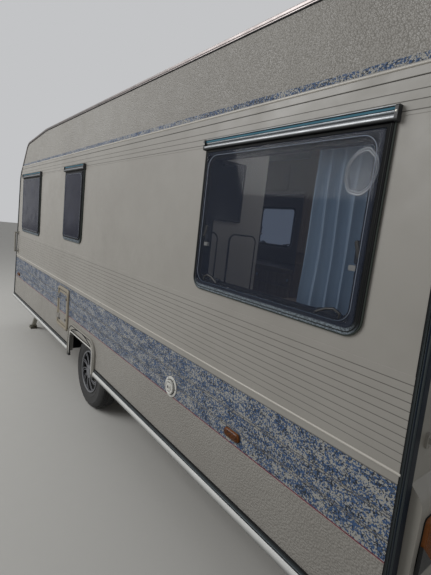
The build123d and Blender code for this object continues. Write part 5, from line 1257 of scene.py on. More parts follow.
@dataclass
class RoadWheel:
    """Road wheel: tyre with its tread, trim spokes over the rim, bolts and cap.

    Attributes:
        side: Which wheel.
        body: The body it turns with.
        sign: 1 for the left wheel and -1 for the right.
        place: Wheel's middle from the body's middle.
        blocks: Tread blocks round the tyre.
        spokes: Pairs of spokes in the trim.
        bolt_circle: Radius and count of the wheel bolts.
    """

    side: str
    body: Body
    sign: int
    place: float = 0.99
    blocks: int = 60
    spokes: int = 10
    bolt_circle: tuple[float, int] = (0.078, 5)

    @property
    def base(self) -> Base:
        """The wheel's middle, with out away from the caravan."""
        return stand(AXLE_PLACE, self.sign * self.place, TYRE_RADIUS, (-self.sign, 0.0, 0.0))

    def tyre(self) -> Shape:
        """Tyre: a section carried round, its radius cut by the tread.

        The radius is the section's, less the depth of four grooves round the tyre where the distance
        across is near one of them, and less that of slanted cuts where the angle, shifted by the
        distance across, is near a whole number of blocks.
        """
        side = np.array([(179, 66), (183, 72.5), (190, 74), (196, 77.5), (208, 82), (214, 83.8), (217, 82.5),
                         (223, 82.8), (245, 85), (262, 83.8), (265, 85), (269, 82.8), (282, 77.8),
                         (293, 70), (301, 62.5)]) / 1000
        across = np.linspace(-0.0585, 0.0585, 53)
        tread = np.stack([TYRE_RADIUS - 0.0005 - 0.0045 * (np.abs(across) / 0.0585) ** 4, across], 1)
        profile = np.vstack([side * (1, -1), tread, side[::-1]])
        angle = np.linspace(0, 2 * math.pi, 360, endpoint=False)[:, None]
        radius, out = profile[None, :, 0], profile[None, :, 1]
        wide = np.abs(out)
        groove = np.minimum(np.abs(wide - 0.014), np.abs(wide - 0.038)) < 0.0028
        phase = (angle / (2 * math.pi) * self.blocks + out * 9.0) % 1.0
        cut = (phase < 0.17) & (wide > 0.016) & ~groove
        depth = np.where(wide < 0.06, np.where(groove, 0.0065, 0.0) + np.where(cut, 0.0045, 0.0), 0.0)
        lug = np.where((wide > 0.06) & (radius > 0.285) & (phase < 0.17), 0.002, 0.0)
        radius = radius - depth - lug
        return Shape().grid(self.base.place(radius * np.cos(angle), radius * np.sin(angle), out),
                            wrap_u=True, wrap_v=True)

    def trim(self) -> Shape:
        """Trim: a ring in the rim's mouth and pairs of thin spokes that curve out to it from the hub."""
        shape = Shape().turned(self.base, [(166, 64), (166, 78), (169, 81), (176, 81), (178, 78), (178, 66)],
                               72, closed=True)
        reach = np.linspace(0, 1, 9)
        radius = 0.048 + 0.12 * reach
        for i in range(self.spokes):
            for step in (-0.1, 0.1):
                angle = 2 * math.pi * i / self.spokes + step * (1 - 0.35 * reach) + 0.34 * reach ** 2
                path = self.base.place(radius * np.cos(angle), radius * np.sin(angle), 0.079 - 0.003 * reach)
                shape.tube(path, 0.0036 - 0.0008 * reach, self.base.out, 8)
        return shape

    def hub(self) -> Shape:
        """Hub cap and its stepped face, and the valve."""
        shape = Shape().turned(self.base, [(56, 36), (56, 78), (53, 83), (44, 85), (43, 82), (30, 82),
                                           (29, 87), (18, 89.5), (0, 90)], 40)
        return shape.turned(self.base.moved(0.0, 0.15), [(4.5, 30), (4.5, 64), (3, 68), (0, 68)], 12)

    def build(self) -> None:
        """Builds the wheel's pieces."""
        add_piece(f"tyre_{self.side}_tread", self.tyre(), TYRE, self.body,
                  f"tyre_{self.side}")
        add_piece(f"wheel_trim_{self.side}", self.trim(), SPOKE, self.body)
        add_piece(f"wheel_cap_{self.side}", self.hub(), SPOKE, self.body)
        radius, count = self.bolt_circle
        places = [self.base.moved(radius * math.cos(a), radius * math.sin(a), 0.036)
                  for a in np.arange(count) * 2 * math.pi / count + 0.3]
        add_piece(f"wheel_bolts_{self.side}", Shape().bolts(places, 17, 12), ZINC, self.body)


@dataclass
class ServiceHatch:
    """Service hatch: cream frame with its outer lip, the locker behind and the door's locks.

    Attributes:
        middle: Middle of the hatch along the wall and up it.
        size: Width, height and corner radius of the frame.
        door: The same of the door's raised rim.
        leaf: The same of the seal in the frame's mouth.
        depth: Depth of the locker.
        locks: Length along the wall of both locks, and their heights.
        hinges: The same of the hinges' cover strips.
        tab: Length and height of the finger tab.
    """

    middle: Pair = (3.1925, 0.7545)
    size: Triple = (0.305, 0.371, 0.034)
    door: Triple = (0.245, 0.311, 0.026)
    leaf: Triple = (0.2566, 0.3226, 0.012)
    depth: float = 0.42
    locks: Triple = (3.096, 0.659, 0.85)
    hinges: Triple = (3.356, 0.675, 0.84)
    tab: Pair = (3.28, 0.632)

    def build(self) -> None:
        """Builds the frame, the locker, the locks and the door's finger tab."""
        base = Wall.LEFT.at(*self.middle)
        line = Shape().ring(base, *self.size, [(-7.5, 0), (-7, 1.6), (-5, 2.2), (-4.6, 0)], 10)
        length, *heights = self.hinges
        for height in heights:
            line.pad(Wall.LEFT.at(length, height), 0.022, 0.056, 0.005, [(0, 0), (0, 3), (1, 4)], 4)
        add_piece("service_hatch_lines", line, BLACK_SEAL_AND_SHADE)
        frame = Shape().ring(base, *self.size, [(-5, 0), (-5, 4), (-3, 9), (0, 13), (4, 15.6), (10, 16.4),
                                                (18, 16), (22, 13.5), (24, 9), (24, -30), (18, -30),
                                                (18, 0)], 10)
        add_piece("service_hatch_frame", frame, CREAM, replaces="service_locker")
        deep = -self.depth / MM
        box = Shape().block(base, *self.size, [(19, deep), (19, -31), (23.8, -31), (23.8, deep + 4)], 4)
        add_piece("service_hatch_locker", box, BOX)
        seal = Shape().ring(base, *self.leaf, [(0, -20), (0, -12), (2.6, -11), (3, -13), (3, -20)], 6)
        add_piece("service_hatch_seal", seal, BLACK_SEAL_AND_SHADE)
        locks, slots = Shape(), Shape()
        length, *heights = self.locks
        for height in heights:
            lock = Wall.LEFT.at(length, height, 0.0015)
            locks.turned(lock, [(14, 8), (14, 10), (12.5, 11.5), (11, 11.5), (10.4, 13.2), (8, 14), (0, 14)],
                         28)
            slots.pad(lock.moved(0, 0, 0.014), 0.0016, 0.009, 0.0007, [(0, -1), (0, 0.4)], 3)
        tab = Shape().pad(Wall.LEFT.at(*self.tab, 0.008), 0.026, 0.018, 0.005, [(0, 0), (0, 4), (1.5, 5.5)])
        rim = Shape().ring(base, *self.door, [(0.6, 7.9), (1.4, 9.4), (4, 10.4), (18, 10.4), (24, 8.6),
                                              (25, 7.9)], 8)
        for name, shape, finish, slot in (("locks", locks, BLACK, "black_plastic"),
                                          ("keyways", slots, ZINC, "zinc_steel"),
                                          ("tab", tab, BLACK, "black_plastic"),
                                          ("rim", rim, CREAM, "hatch_plastic")):
            add_piece(f"service_hatch_{name}", shape, finish, Body.SERVICE_DOOR)


@dataclass
class SideFittings:
    """Small fittings of the side walls: filler cap and marker lamps, with screws for the handles.

    Attributes:
        cap: Length and height of the filler cap.
        markers: Lengths of the marker lamps.
        marker_height: Their height.
        handle: Length and height of the side handles, and half the distance between their feet.
        rear_handle: How far the rear handles stand from the middle, their height and half distance.
    """

    cap: Pair = (1.258, 0.766)
    markers: Pair = (0.738, 5.14)
    marker_height: float = 0.757
    handle: Triple = (5.24, 1.178, 0.12)
    rear_handle: Triple = (1.06, 0.8, 0.12)

    def filler(self) -> None:
        """Turned flange and screw cap with a key boss, its keyhole and six screws, and a black ring of
        painted shade round the flange's foot.
        """
        base = Wall.LEFT.at(*self.cap)
        shape = Shape().turned(base, [(57, 0), (57, 3.5), (55.5, 5.4), (52, 6), (43, 6), (41.5, 4.6),
                                      (39.2, 4.6)], 64)
        grip = np.linspace(0, 2 * math.pi, 96, endpoint=False)[:, None]
        wave = 1 + 0.022 * np.sign(np.sin(grip * 16))
        radius = np.array([38.5, 38.5, 37.5, 33, 31, 29, 20, 18.5, 17.5, 0]) * MM
        out = np.array([4, 14, 17.0, 17.8, 15.2, 14.4, 14.4, 18, 18, 18]) * MM
        wide = np.where(radius > 0.036, wave, 1.0) * radius[None, :] * 0.985
        shape.grid(base.place(wide * np.cos(grip), wide * np.sin(grip), out), wrap_u=True)
        add_piece("water_cap_form", shape, WHITE, replaces="water_cap")
        dark, steel = Shape(), Shape()
        dark.turned(base, [(43.4, 5), (43.0, 7.2), (39.6, 7.2), (39, 5)], 64)
        # Black ring of painted shade where the flange meets the wall
        dark.turned(base, [(60, 0), (59.4, 1.2), (57, 1.2), (57, 0)], 64)
        face = base.moved(0, 0, 0.018)
        flat = [(0, -1), (0, 0.5), (0.8, 0.8)]
        dark.pad(face.moved(-0.007, 0), 0.01, 0.016, 0.005, flat, 4)
        for sign in (-1, 1):
            dark.pad(face.moved(0, sign * 0.0245, -0.0034), 0.026, 0.0026, 0.001, flat, 2)
        steel.pad(face.moved(0.007, 0), 0.008, 0.013, 0.004, flat, 4)
        for angle in np.arange(6) * math.pi / 3:
            steel.turned(base.moved(0.049 * math.cos(angle), 0.049 * math.sin(angle), 0.006),
                         [(3.4, -0.5), (3.2, 0.8), (1.5, 1.5), (0, 1.6)], 12)
        add_piece("water_cap_lock_and_shade_ring", dark, BLACK)
        add_piece("water_cap_screws", steel, ZINC)

    def lamps(self) -> None:
        """Each marker: a black base, an oval domed lens, dark within its rim, with two screws."""
        foot, lens, screws = Shape(), Shape(), Shape()
        dome = [(0, 4), (0, 9), (1.2, 12), (4, 14.4), (8, 16.4), (14, 17.6)]
        for base in (wall.at(length, self.marker_height) for wall in (Wall.LEFT, Wall.RIGHT)
                     for length in self.markers):
            foot.block(base, 0.106, 0.045, 0.0225, [(0, 0), (0, 3.5), (1.5, 5)], 10)
            lens.block(base, 0.1, 0.04, 0.02, dome, 10, marks=(0.0, 0.0, 0.1, 0.8, 1.0, 1.0))
            for step in np.linspace(-0.026, 0.026, 9):
                lens.pad(base.moved(float(step), 0), 0.0024, 0.016, 0.001, [(0, 16), (0.8, 18)], 2)
            for sign in (-1, 1):
                screws.turned(base.moved(sign * 0.039, 0, 0.015), [(3.4, -1.5), (3.2, 0.6), (0, 1.4)], 12)
        add_piece("marker_bases", foot, BLACK)
        add_piece("marker_lenses", lens, AMBER, replaces="side_markers")
        add_piece("marker_screws", screws, ZINC)

    def handles(self) -> None:
        """Screws in the feet of the four grab handles."""
        length, height, reach = self.handle
        places = [wall.at(length, height + sign * reach, 0.008) for wall in (Wall.LEFT, Wall.RIGHT)
                  for sign in (-1, 1)]
        side, height, reach = self.rear_handle
        places += [Wall.REAR.at(y, height + sign * reach, 0.008) for y in (-side, side) for sign in (-1, 1)]
        shape = Shape()
        for place in places:
            for step in (-0.018, 0.018):
                shape.turned(place.moved(0, step), [(3.6, -0.5), (3.4, 0.8), (0, 1.6)], 10)
        add_piece("handle_screws", shape, ZINC)

    def build(self) -> None:
        """Builds every fitting."""
        self.filler()
        self.lamps()
        self.handles()


@dataclass
class RearEnd:
    """Rear lamps, the plate's frame and lamps, and the panel's seams.

    Attributes:
        base: Face of the moulded rear panel at the ground.
        height: Height of the lamps' middles.
        tall: Height of a lamp.
        foot: Height of the sloped foot under a lamp.
        lenses: Place from the middle, width and prisms of the amber lens and of the red one.
        lamp: Place and width of the whole lamp.
        plate: Height of the number plate's middle, its frame's width and its height.
    """

    base: Base = stand(-0.028, 0.0, 0.0, RIGHTWARD)
    height: float = 0.788
    tall: float = 0.172
    foot: float = 0.042
    lenses: tuple[tuple[float, float, int], ...] = ((1.0315, 0.105, 13), (0.9055, 0.143, 17))
    lamp: Pair = (0.959, 0.256)
    plate: Triple = (0.56, 0.532, 0.132)

    def lens(self, shape: Shape, middle: float, width: float, ribs: int) -> None:
        """A lens with its bevel and its upright prisms."""
        base = self.base.moved(middle, self.height)
        shape.block(base, width, self.tall, 0.014, [(0, 0), (0, 8), (1.5, 10.5), (4, 12)])
        for step in np.linspace(-0.5, 0.5, ribs) * (width - 0.022):
            shape.pad(base.moved(float(step), 0), 0.0042, self.tall - 0.022, 0.0015,
                      [(0, 11.5), (1.2, 13.8)], 2)

    def build(self) -> None:
        """Builds the lenses, the lamp seals, the plate frame and the end seams."""
        amber, red, seal, plate = (Shape() for _ in range(4))
        middle, width = self.lamp
        level, frame_width, frame_height = self.plate
        for sign in (-1, 1):
            for shape, (place, wide, ribs) in zip((amber, red), self.lenses):
                self.lens(shape, sign * place, wide, ribs)
            seal.ring(self.base.moved(sign * middle, self.height), width, self.tall + 0.006, 0.016,
                      [(0, 0), (0, 2.4), (1, 3), (3.4, 3), (3.4, 0)])
            foot = self.base.moved(sign * middle, self.height - (self.tall + self.foot) / 2)
            plate.bar(foot, width - 0.006, [(-21, 0), (-21, 2), (-19, 3), (21, 11.5), (21, 0)])
            plate.block(self.base.moved(sign * 0.3, level), 0.03, 0.06, 0.006, [(0, 0), (0, 9), (4, 14)])
            corner = np.array([(1.087, 0.79), (0.992, 0.696), (1.087, 0.696)])[::-sign] * (sign, 1)
            points = self.base.place(corner[:, None, 0], corner[:, None, 1], np.array([[0.0, 0.0139]]))
            plate.grid(points, wrap_u=True).cap(points[:, -1])
        plate.pad(self.base.moved(0, level), frame_width, frame_height, 0.008,
                  [(0, 0), (0, 3), (1.5, 4), (5, 4), (6, 2), (6, -5)], capped=False)
        add_piece("rear_lenses_red", red, RED, replaces="rear_lamps")
        add_piece("rear_lenses_amber", amber, AMBER)
        add_piece("rear_lamp_seals", seal, BLACK_SEAL_AND_SHADE)
        add_piece("plate_frame", plate, BLACK)


@dataclass
class EntranceDoor:
    """Entrance door's pressed leaf, its seal and the lock's keyhole.

    Attributes:
        middle: Length and height of the door's middle.
        leaf: Width, height and corner radius of the leaf.
        light: The same of its window.
        light_up: Height of the window's middle over the door's.
        panels: Height over the door's middle and own height of each pressed panel.
        lock: Length and height of the keyhole.
    """

    middle: Pair = (3.61, 1.332)
    leaf: Triple = (0.6, 1.64, 0.054)
    light: Triple = (0.424, 0.534, 0.072)
    light_up: float = 0.148
    panels: tuple[Pair, ...] = ((-0.6, 0.24), (-0.32, 0.2))
    lock: Pair = (3.38, 1.262)

    def build(self) -> None:
        """Builds the pressed frames on the leaf, the seal round it and the keyhole."""
        base = Wall.RIGHT.at(*self.middle, 0.004)
        press = Shape().ring(base, *self.leaf, [(10, -0.5), (12, 1.6), (18, 2), (21, 0.2), (24, -0.5)], 12)
        press.ring(base.moved(0, self.light_up), *self.light, [(0, -0.5), (2, 2.2), (5, 2.6), (8, -0.5)], 12)
        for up, high in self.panels:
            press.ring(base.moved(0, up), 0.48, high, 0.02, [(0, -0.5), (1.5, 1.4), (4, 1.4), (6, -0.5)],
                       8)
        add_piece("door_pressings", press, WALL, Body.DOOR)
        seal = Shape().ring(base.moved(0, 0, -0.01), 0.6085, 1.6485, 0.058,
                            [(0, -2), (0, 1), (1.5, 2), (3.6, 1), (3.6, -2)], 10)
        add_piece("door_seal", seal, BLACK_SEAL_AND_SHADE)
        lock = Wall.RIGHT.at(*self.lock, 0.016)
        keyhole = Shape().turned(lock, [(8, -1), (8, 1.5), (6.5, 2.2), (0, 2.2)], 20)
        keyhole.pad(lock.moved(0, 0, 0.0022), 0.0018, 0.008, 0.0008, [(0, -0.3), (0, 0.3)], 3)
        add_piece("door_lock", keyhole, ZINC, Body.DOOR)


@dataclass
class FrontEnd:
    """Gas locker lid's pressings, locks and seal.

    Attributes:
        middle: Distance of the lid's middle up the front wall.
        size: Width, height and corner radius of the lid.
        panels: Places of the pressed panels from its middle.
        locks: Places of the locks.
    """

    middle: float = 0.305
    size: Triple = (1.228, 0.458, 0.044)
    panels: Triple = (-0.3, 0.0, 0.3)
    locks: Pair = (-0.45, 0.45)

    def build(self) -> None:
        """Builds the lid's pressed frame, its two locks and its seal."""
        base = Wall.FRONT.at(0.0, self.middle)
        press = Shape().ring(base, *self.size, [(14, -0.4), (17, 2.0), (23, 2.4), (27, 0.4), (30, -0.4)], 10)
        for step in self.panels:
            press.pad(base.moved(step, 0), 0.19, 0.25, 0.024, [(0, -0.4), (3, 2.6), (6, 3.4)], 8)
        add_piece("gas_lid_pressings", press, END_PANEL, Body.GAS_LID)
        locks = Shape()
        for step in self.locks:
            locks.turned(base.moved(step, -0.19), [(16, -0.5), (16, 3), (14, 4.5), (9, 5), (8, 7.5),
                                                   (0, 7.5)], 28)
        add_piece("gas_lid_locks", locks, BLACK, Body.GAS_LID)
        seal = Shape().ring(base, 1.238, 0.468, 0.049, [(0, -8), (0, -1), (1.5, 0.6), (4.4, -1), (4.4, -8)],
                            8)
        add_piece("gas_lid_seal", seal, BLACK_SEAL_AND_SHADE)


@dataclass
class RoofFittings:
    """Roof seams, sealant round the hatches and the lids' mouldings.

    Attributes:
        slope: Rise of the roof along its length.
        seams: Lengths of the seams across it.
        lids: Name, body, length, side and two sizes of each lid.
    """

    slope: float = 0.00225
    seams: Triple = (0.9, 2.3, 3.8)
    lids: tuple[tuple, ...] = (("main", Body.MAIN_LID, 1.5, 0.0, 0.5, 0.7),
                               ("washroom", Body.WASHROOM_LID, 3.08, 0.64, 0.4, 0.4))

    def on_roof(self, length: float, side: float) -> Base:
        """Base on the roof with out upwards and up to the rear, square on its slope."""
        lean = math.hypot(1.0, self.slope)
        height = ROOF_HEIGHT + (length - REAR_LEAN) * self.slope
        return stand(length, side, height, LEFTWARD, (-1.0 / lean, 0.0, -self.slope / lean))

    def build(self) -> None:
        """Builds the seams, the sealant and the ribs of both lids."""
        seams, seal = Shape(), Shape()
        for length in self.seams:
            seams.bar(self.on_roof(length, 0.0), 2 * HALF_WIDTH - 0.08,
                      [(-14, 0), (-13, 1.5), (-5, 1.8), (-3, 4), (3, 4), (5, 1.8), (13, 1.5), (14, 0)])
        add_piece("roof_seams", seams, ROOF)
        for name, body, length, side, long, wide in self.lids:
            base = self.on_roof(length, side)
            seal.ring(base, wide + 0.026, long + 0.026, 0.02, [(0, 0), (3, 3.4), (9, 4.5), (13, 4.5),
                                                               (13, 0)])
            ribs = Shape()
            for step in np.linspace(-0.36, 0.36, 5) * wide:
                ribs.pad(base.moved(float(step), 0, 0.0915), 0.014, long * 0.72, 0.007,
                         [(0, -1.5), (2, 0.6), (4, 0.9)], 4)
            add_piece(f"roof_lid_ribs_{name}", ribs, LID, body)
        add_piece("roof_hatch_sealant", seal, WHITE)


@dataclass
class TowGear:
    """Overrun coupling and jockey wheel dressings: pleated bellows, bolts, ribs and wheel discs.

    Attributes:
        bellows: Length and height of the bellows' rear end.
        bolts: Length and height of the base plate's middle, and half its two bolt distances.
        head: Length, side and height of the coupling head's bolts.
        ribs: Lengths of the housing's cast ribs.
        jockey: Length and side of the jockey tube.
        wheel: Length and height of the jockey wheel's middle.
    """

    bellows: Pair = (6.36, 0.452)
    bolts: tuple[float, ...] = (6.165, 0.42, 0.09, 0.15)
    head: Triple = (6.56, 0.038, 0.448)
    ribs: Triple = (6.08, 6.19, 6.3)
    jockey: Pair = (6.236, -0.15)
    wheel: Pair = (6.198, 0.105)

    def coupling(self) -> None:
        """Bellows turned with a wavy radius, bolts on the base plate and head, and the housing's ribs."""
        length, height = self.bellows
        reach = np.linspace(0, 150, 97)
        radius = 37.5 + 5.8 * np.cos(reach / 150 * 2 * math.pi * 8)
        pleats = Shape().turned(stand(length, 0.0, height), [(30, 0), *zip(radius, reach), (26, 150)], 40)
        add_piece("bellows_pleats", pleats, SOLID_RUBBER, replaces="bellows")
        length, height, wide, long = self.bolts
        plate = stand(length, 0.0, height, LEFTWARD, REARWARD)
        places = [plate.moved(side, along) for side in (-wide, wide) for along in (-long, long)]
        places += [stand(*self.head, REARWARD).moved(along, 0.0) for along in (-0.02, 0.03)]
        add_piece("coupling_bolts", Shape().bolts(places, 17, 10), ZINC)
        ribs = Shape()
        for length in self.ribs:
            ribs.pad(stand(length, 0.0, 0.507, LEFTWARD, REARWARD), 0.1, 0.016, 0.006,
                     [(0, 0), (1, 5), (3, 6.5)], 4)
        add_piece("housing_ribs", ribs, CAST)

    def jockey_parts(self) -> None:
        """The jockey wheel's two discs with their hubs, and the bolts of its clamp."""
        length, side = self.jockey
        middle, height = self.wheel
        discs = Shape()
        for across in (REARWARD, FORWARD):
            discs.turned(stand(middle, side, height, across),
                         [(68, 27), (68, 29), (64, 30.5), (60, 28.2), (34, 28.2), (30, 31), (14, 32),
                          (13, 29), (0, 29)], 40)
        add_piece("jockey_wheel_discs", discs, WHEEL_PAINT, Body.JOCKEY_WHEEL)
        clamp = stand(length + 0.039, side, 0.455)
        bolts = Shape().bolts([clamp.moved(0, step) for step in (-0.016, 0.016)], 13, 8)
        add_piece("jockey_clamp_bolts", bolts, ZINC)

    def build(self) -> None:
        """Builds the coupling's and the jockey wheel's parts."""
        self.coupling()
        self.jockey_parts()


@dataclass
class Furniture:
    """Fronts of the furniture: doors, flaps and drawers with their push locks.

    Attributes:
        rows: Length, side and height of each row's middle, its across axis, its doors' widths and height.
    """

    rows: tuple[tuple, ...] = (
        (2.607, -0.556, 0.86, REARWARD, (0.42, 0.42, 0.42), 0.6),
        (2.607, -0.556, 1.23, REARWARD, (0.42, 0.42, 0.42), 0.11),
        (1.77, -0.556, 0.98, REARWARD, (0.36,), 0.86),
        (1.77, -0.556, 1.86, REARWARD, (0.36,), 0.72),
        (1.58, -0.836, 1.24, RIGHTWARD, (0.5,), 0.6),
        (1.58, -0.836, 1.86, RIGHTWARD, (0.46,), 0.46),
        (0.993, 0.816, 2.245, FORWARD, (0.38, 0.38, 0.38), 0.27),
        (0.993, -0.816, 2.245, REARWARD, (0.38, 0.38, 0.38), 0.27),
        (2.607, -0.816, 2.245, REARWARD, (0.42, 0.42, 0.42), 0.27),
        (0.406, 0.0, 2.245, LEFTWARD, (0.5, 0.5, 0.5), 0.27),
        (2.98, 0.42, 1.4, FORWARD, (0.6,), 1.7),
        (1.115, 0.556, 0.62, FORWARD, (0.42, 0.42), 0.26),
        (1.115, -0.556, 0.62, REARWARD, (0.42, 0.42), 0.26))

    def build(self) -> None:
        """Lays each row's doors side by side, with a reveal between them and a lock at each one's edge."""
        doors, locks = Shape(), Shape()
        for *place, across, widths, height in self.rows:
            base = stand(*place, across)
            start = -sum(widths) / 2
            for width in widths:
                middle = base.moved(start + width / 2, 0.0)
                doors.block(middle, width - 0.008, height, 0.022, [(0, 0), (0, 12), (2, 15), (5, 16)], 5)
                doors.ring(middle, width - 0.078, height - 0.07, 0.014,
                           [(0, 15.5), (1.5, 18), (4, 18), (6, 15.5)], 5)
                down = -height / 2 + 0.06 if height > 0.5 else 0.0
                locks.turned(middle.moved(width / 2 - 0.03, down, 0.016),
                             [(14, 0), (13, 4), (9, 5), (8, 7), (0, 7.5)], 20)
                start += width
        add_piece("furniture_fronts", doors, WOOD)
        add_piece("furniture_locks", locks, BRIGHT)


@dataclass
class Wardrobe:
    """Wardrobe between the left seat and the washroom, seen through the rear left window.

    Attributes:
        lengths: Where it starts and stops along the body.
        sides: Its inner and outer faces from the body's middle.
        heights: Its foot and its top.
        mirror: The mirror door's middle, y and z, its two sizes and its corner radius.
        doors: The same for its two plain doors.
        handle: Width, height and corner radius of the mirror door's handle.
    """

    lengths: Pair = (1.6, 2.236)
    sides: Pair = (0.3, 1.112)
    heights: Pair = (0.453, 2.4)
    mirror: tuple[float, ...] = (0.66, 1.88, 0.31, 0.38, 0.01)
    doors: tuple[tuple[float, ...], ...] = ((0.455, 1.385, 0.25, 0.46, 0.05),
                                            (0.8, 1.385, 0.25, 0.46, 0.05))
    handle: Triple = (0.08, 0.014, 0.006)

    def build(self) -> None:
        """Builds the carcass, the framed mirror door with its handle, and the plain doors."""
        (inner, outer), (low, high) = self.sides, self.heights
        middle = ((inner + outer) / 2, (low + high) / 2)
        base = stand(self.lengths[0], *middle, RIGHTWARD)
        deep = (self.lengths[0] - self.lengths[1]) / MM
        body = Shape().block(base, outer - inner, high - low, 0.008, [(0, deep), (0, 0)], 3)
        frames, glass = Shape(), Shape()
        side, height, width, tall, radius = self.mirror
        place = base.moved(middle[0] - side, height - middle[1])
        frames.ring(place, width, tall, radius, [(0, 0), (0, 9), (3, 12), (12, 12), (15, 9), (15, 0)])
        glass.pad(place, width - 0.028, tall - 0.028, 0.004, [(0, 0), (0, 5)], 3)
        frames.pad(place.moved(0.0, tall / 2 - 0.03, 0.006), *self.handle, [(0, 0), (0, 10), (3, 14)])
        for side, height, width, tall, radius in self.doors:
            place = base.moved(middle[0] - side, height - middle[1])
            frames.ring(place, width, tall, radius, [(0, 0), (0, 4), (2, 6), (9, 6), (11, 4), (11, 0)], 10)
            body.pad(place, width - 0.021, tall - 0.021, radius - 0.01, [(0, 0), (0, 3), (2, 5)], 10)
        add_piece("wardrobe_carcass", body, MELAMINE)
        add_piece("wardrobe_frames", frames, GREY_PLASTIC)
        add_piece("wardrobe_mirror", glass, MIRROR)


def add_uv(piece: bpy.types.Object, flat: Array) -> None:
    """Gives a piece a UV map in metres.

    Args:
        piece: The piece.
        flat: Two coordinates of each vertex.
    """
    index = np.empty(len(piece.data.loops), np.int32)
    piece.data.loops.foreach_get("vertex_index", index)
    layer = piece.data.uv_layers.new(name="weave")
    layer.data.foreach_set("uv", flat[index].astype(np.float32).ravel())


@dataclass
class Cushions:
    """Seat, back and bed cushions of the two lounges.

    Attributes:
        level: Height of the boards that the seats and beds lie on.
        back: Height of the back cushions' middles.
        fill: Share of its form that a cushion's filling takes; not used.
    """

    level: float = 0.802
    back: float = 1.122
    fill: float = 0.8

    def rows(self) -> dict[str, tuple[Base, float, float, float]]:
        """The middle of each cushion's back face, its two flat sizes and its thickness."""
        made = {"seat_rear": (stand(0.445, 0.0, self.level, LEFTWARD, REARWARD), 1.104, 0.442, 0.12)}
        for name, sign in (("left", 1), ("right", -1)):
            corner, seat, bed = (stand(length, sign * side, self.level, LEFTWARD, REARWARD)
                                 for length, side in ((0.445, 0.834), (1.115, 0.781), (4.445, 0.558)))
            side = stand(1.115, sign * 1.112, self.back, (float(sign), 0.0, 0.0))
            rear = stand(0.114, sign * 0.503, self.back)
            made |= {f"seat_corner_{name}": (corner, 0.552, 0.442, 0.12),
                     f"seat_{name}": (seat, 0.442, 0.882, 0.12),
                     f"back_{name}": (side, 0.882, 0.398, 0.102),
                     f"back_rear_{name}": (rear, 0.994, 0.398, 0.102),
                     f"bed_{name}": (bed, 1.108, 0.902, 0.12)}
        return made

    def form(self, base: Base, width: float, height: float, thick: float) -> Array:
        """Crowned closed form: rings of a squared ellipse from the middle of one face to the other's.

        Round a ring the point is the half size times the signed power 1/4 of the cosine and the sine,
        drawn in between the corners by 2.5% times the squared cosine of twice the angle. From the side
        the ring grows out of each face's middle, is pinched at two piped seams and bulges between them,
        and each face is crowned by the squared distance from its middle.
        """
        angle = np.linspace(0, 2 * math.pi, 112, endpoint=False)[:, None]
        cos, sin = np.cos(angle), np.sin(angle)
        face = [0, .15, .3, .45, .6, .75, .88, .95, .975, .985, .998, .985, .99, 1]
        share = np.array(face + face[::-1])[None, :]
        deep = np.array([0, 0, 0, 0, 0, 0, .03, .07, .1, .115, .14, .165, .22, .4, .6, .78, .835, .86,
                         .885, .9, .93, .96, .97, .98, .985, .99, .995, 1.0])[None, :]
        crown = np.where(deep > 0.5, 1 - 0.1 * share ** 2 * (deep > 0.9), 1.0)
        pull = 1 - 0.025 * np.cos(2 * angle) ** 2 * share
        across = np.sign(cos) * np.abs(cos) ** 0.25 * share * pull * width / 2
        up = np.sign(sin) * np.abs(sin) ** 0.25 * share * pull * height / 2
        ruck = 0.0022 * np.sin(across * 41 + width * 9) * np.sin(up * 37) * (deep > 0.9)
        return base.place(across, up, np.minimum(deep * crown * thick + ruck, thick))

    def build(self) -> None:
        """Builds each cushion as its own padded piece."""
        for name, row in self.rows().items():
            points = self.form(*row)
            made = add_piece(f"cushion_{name}", Shape().grid(points, wrap_u=True), UPHOLSTERY,
                             replaces="cushions")
            add_uv(made, points.reshape(-1, 3)[:, [0, 2] if "back" in name else [0, 1]].astype(np.float32))


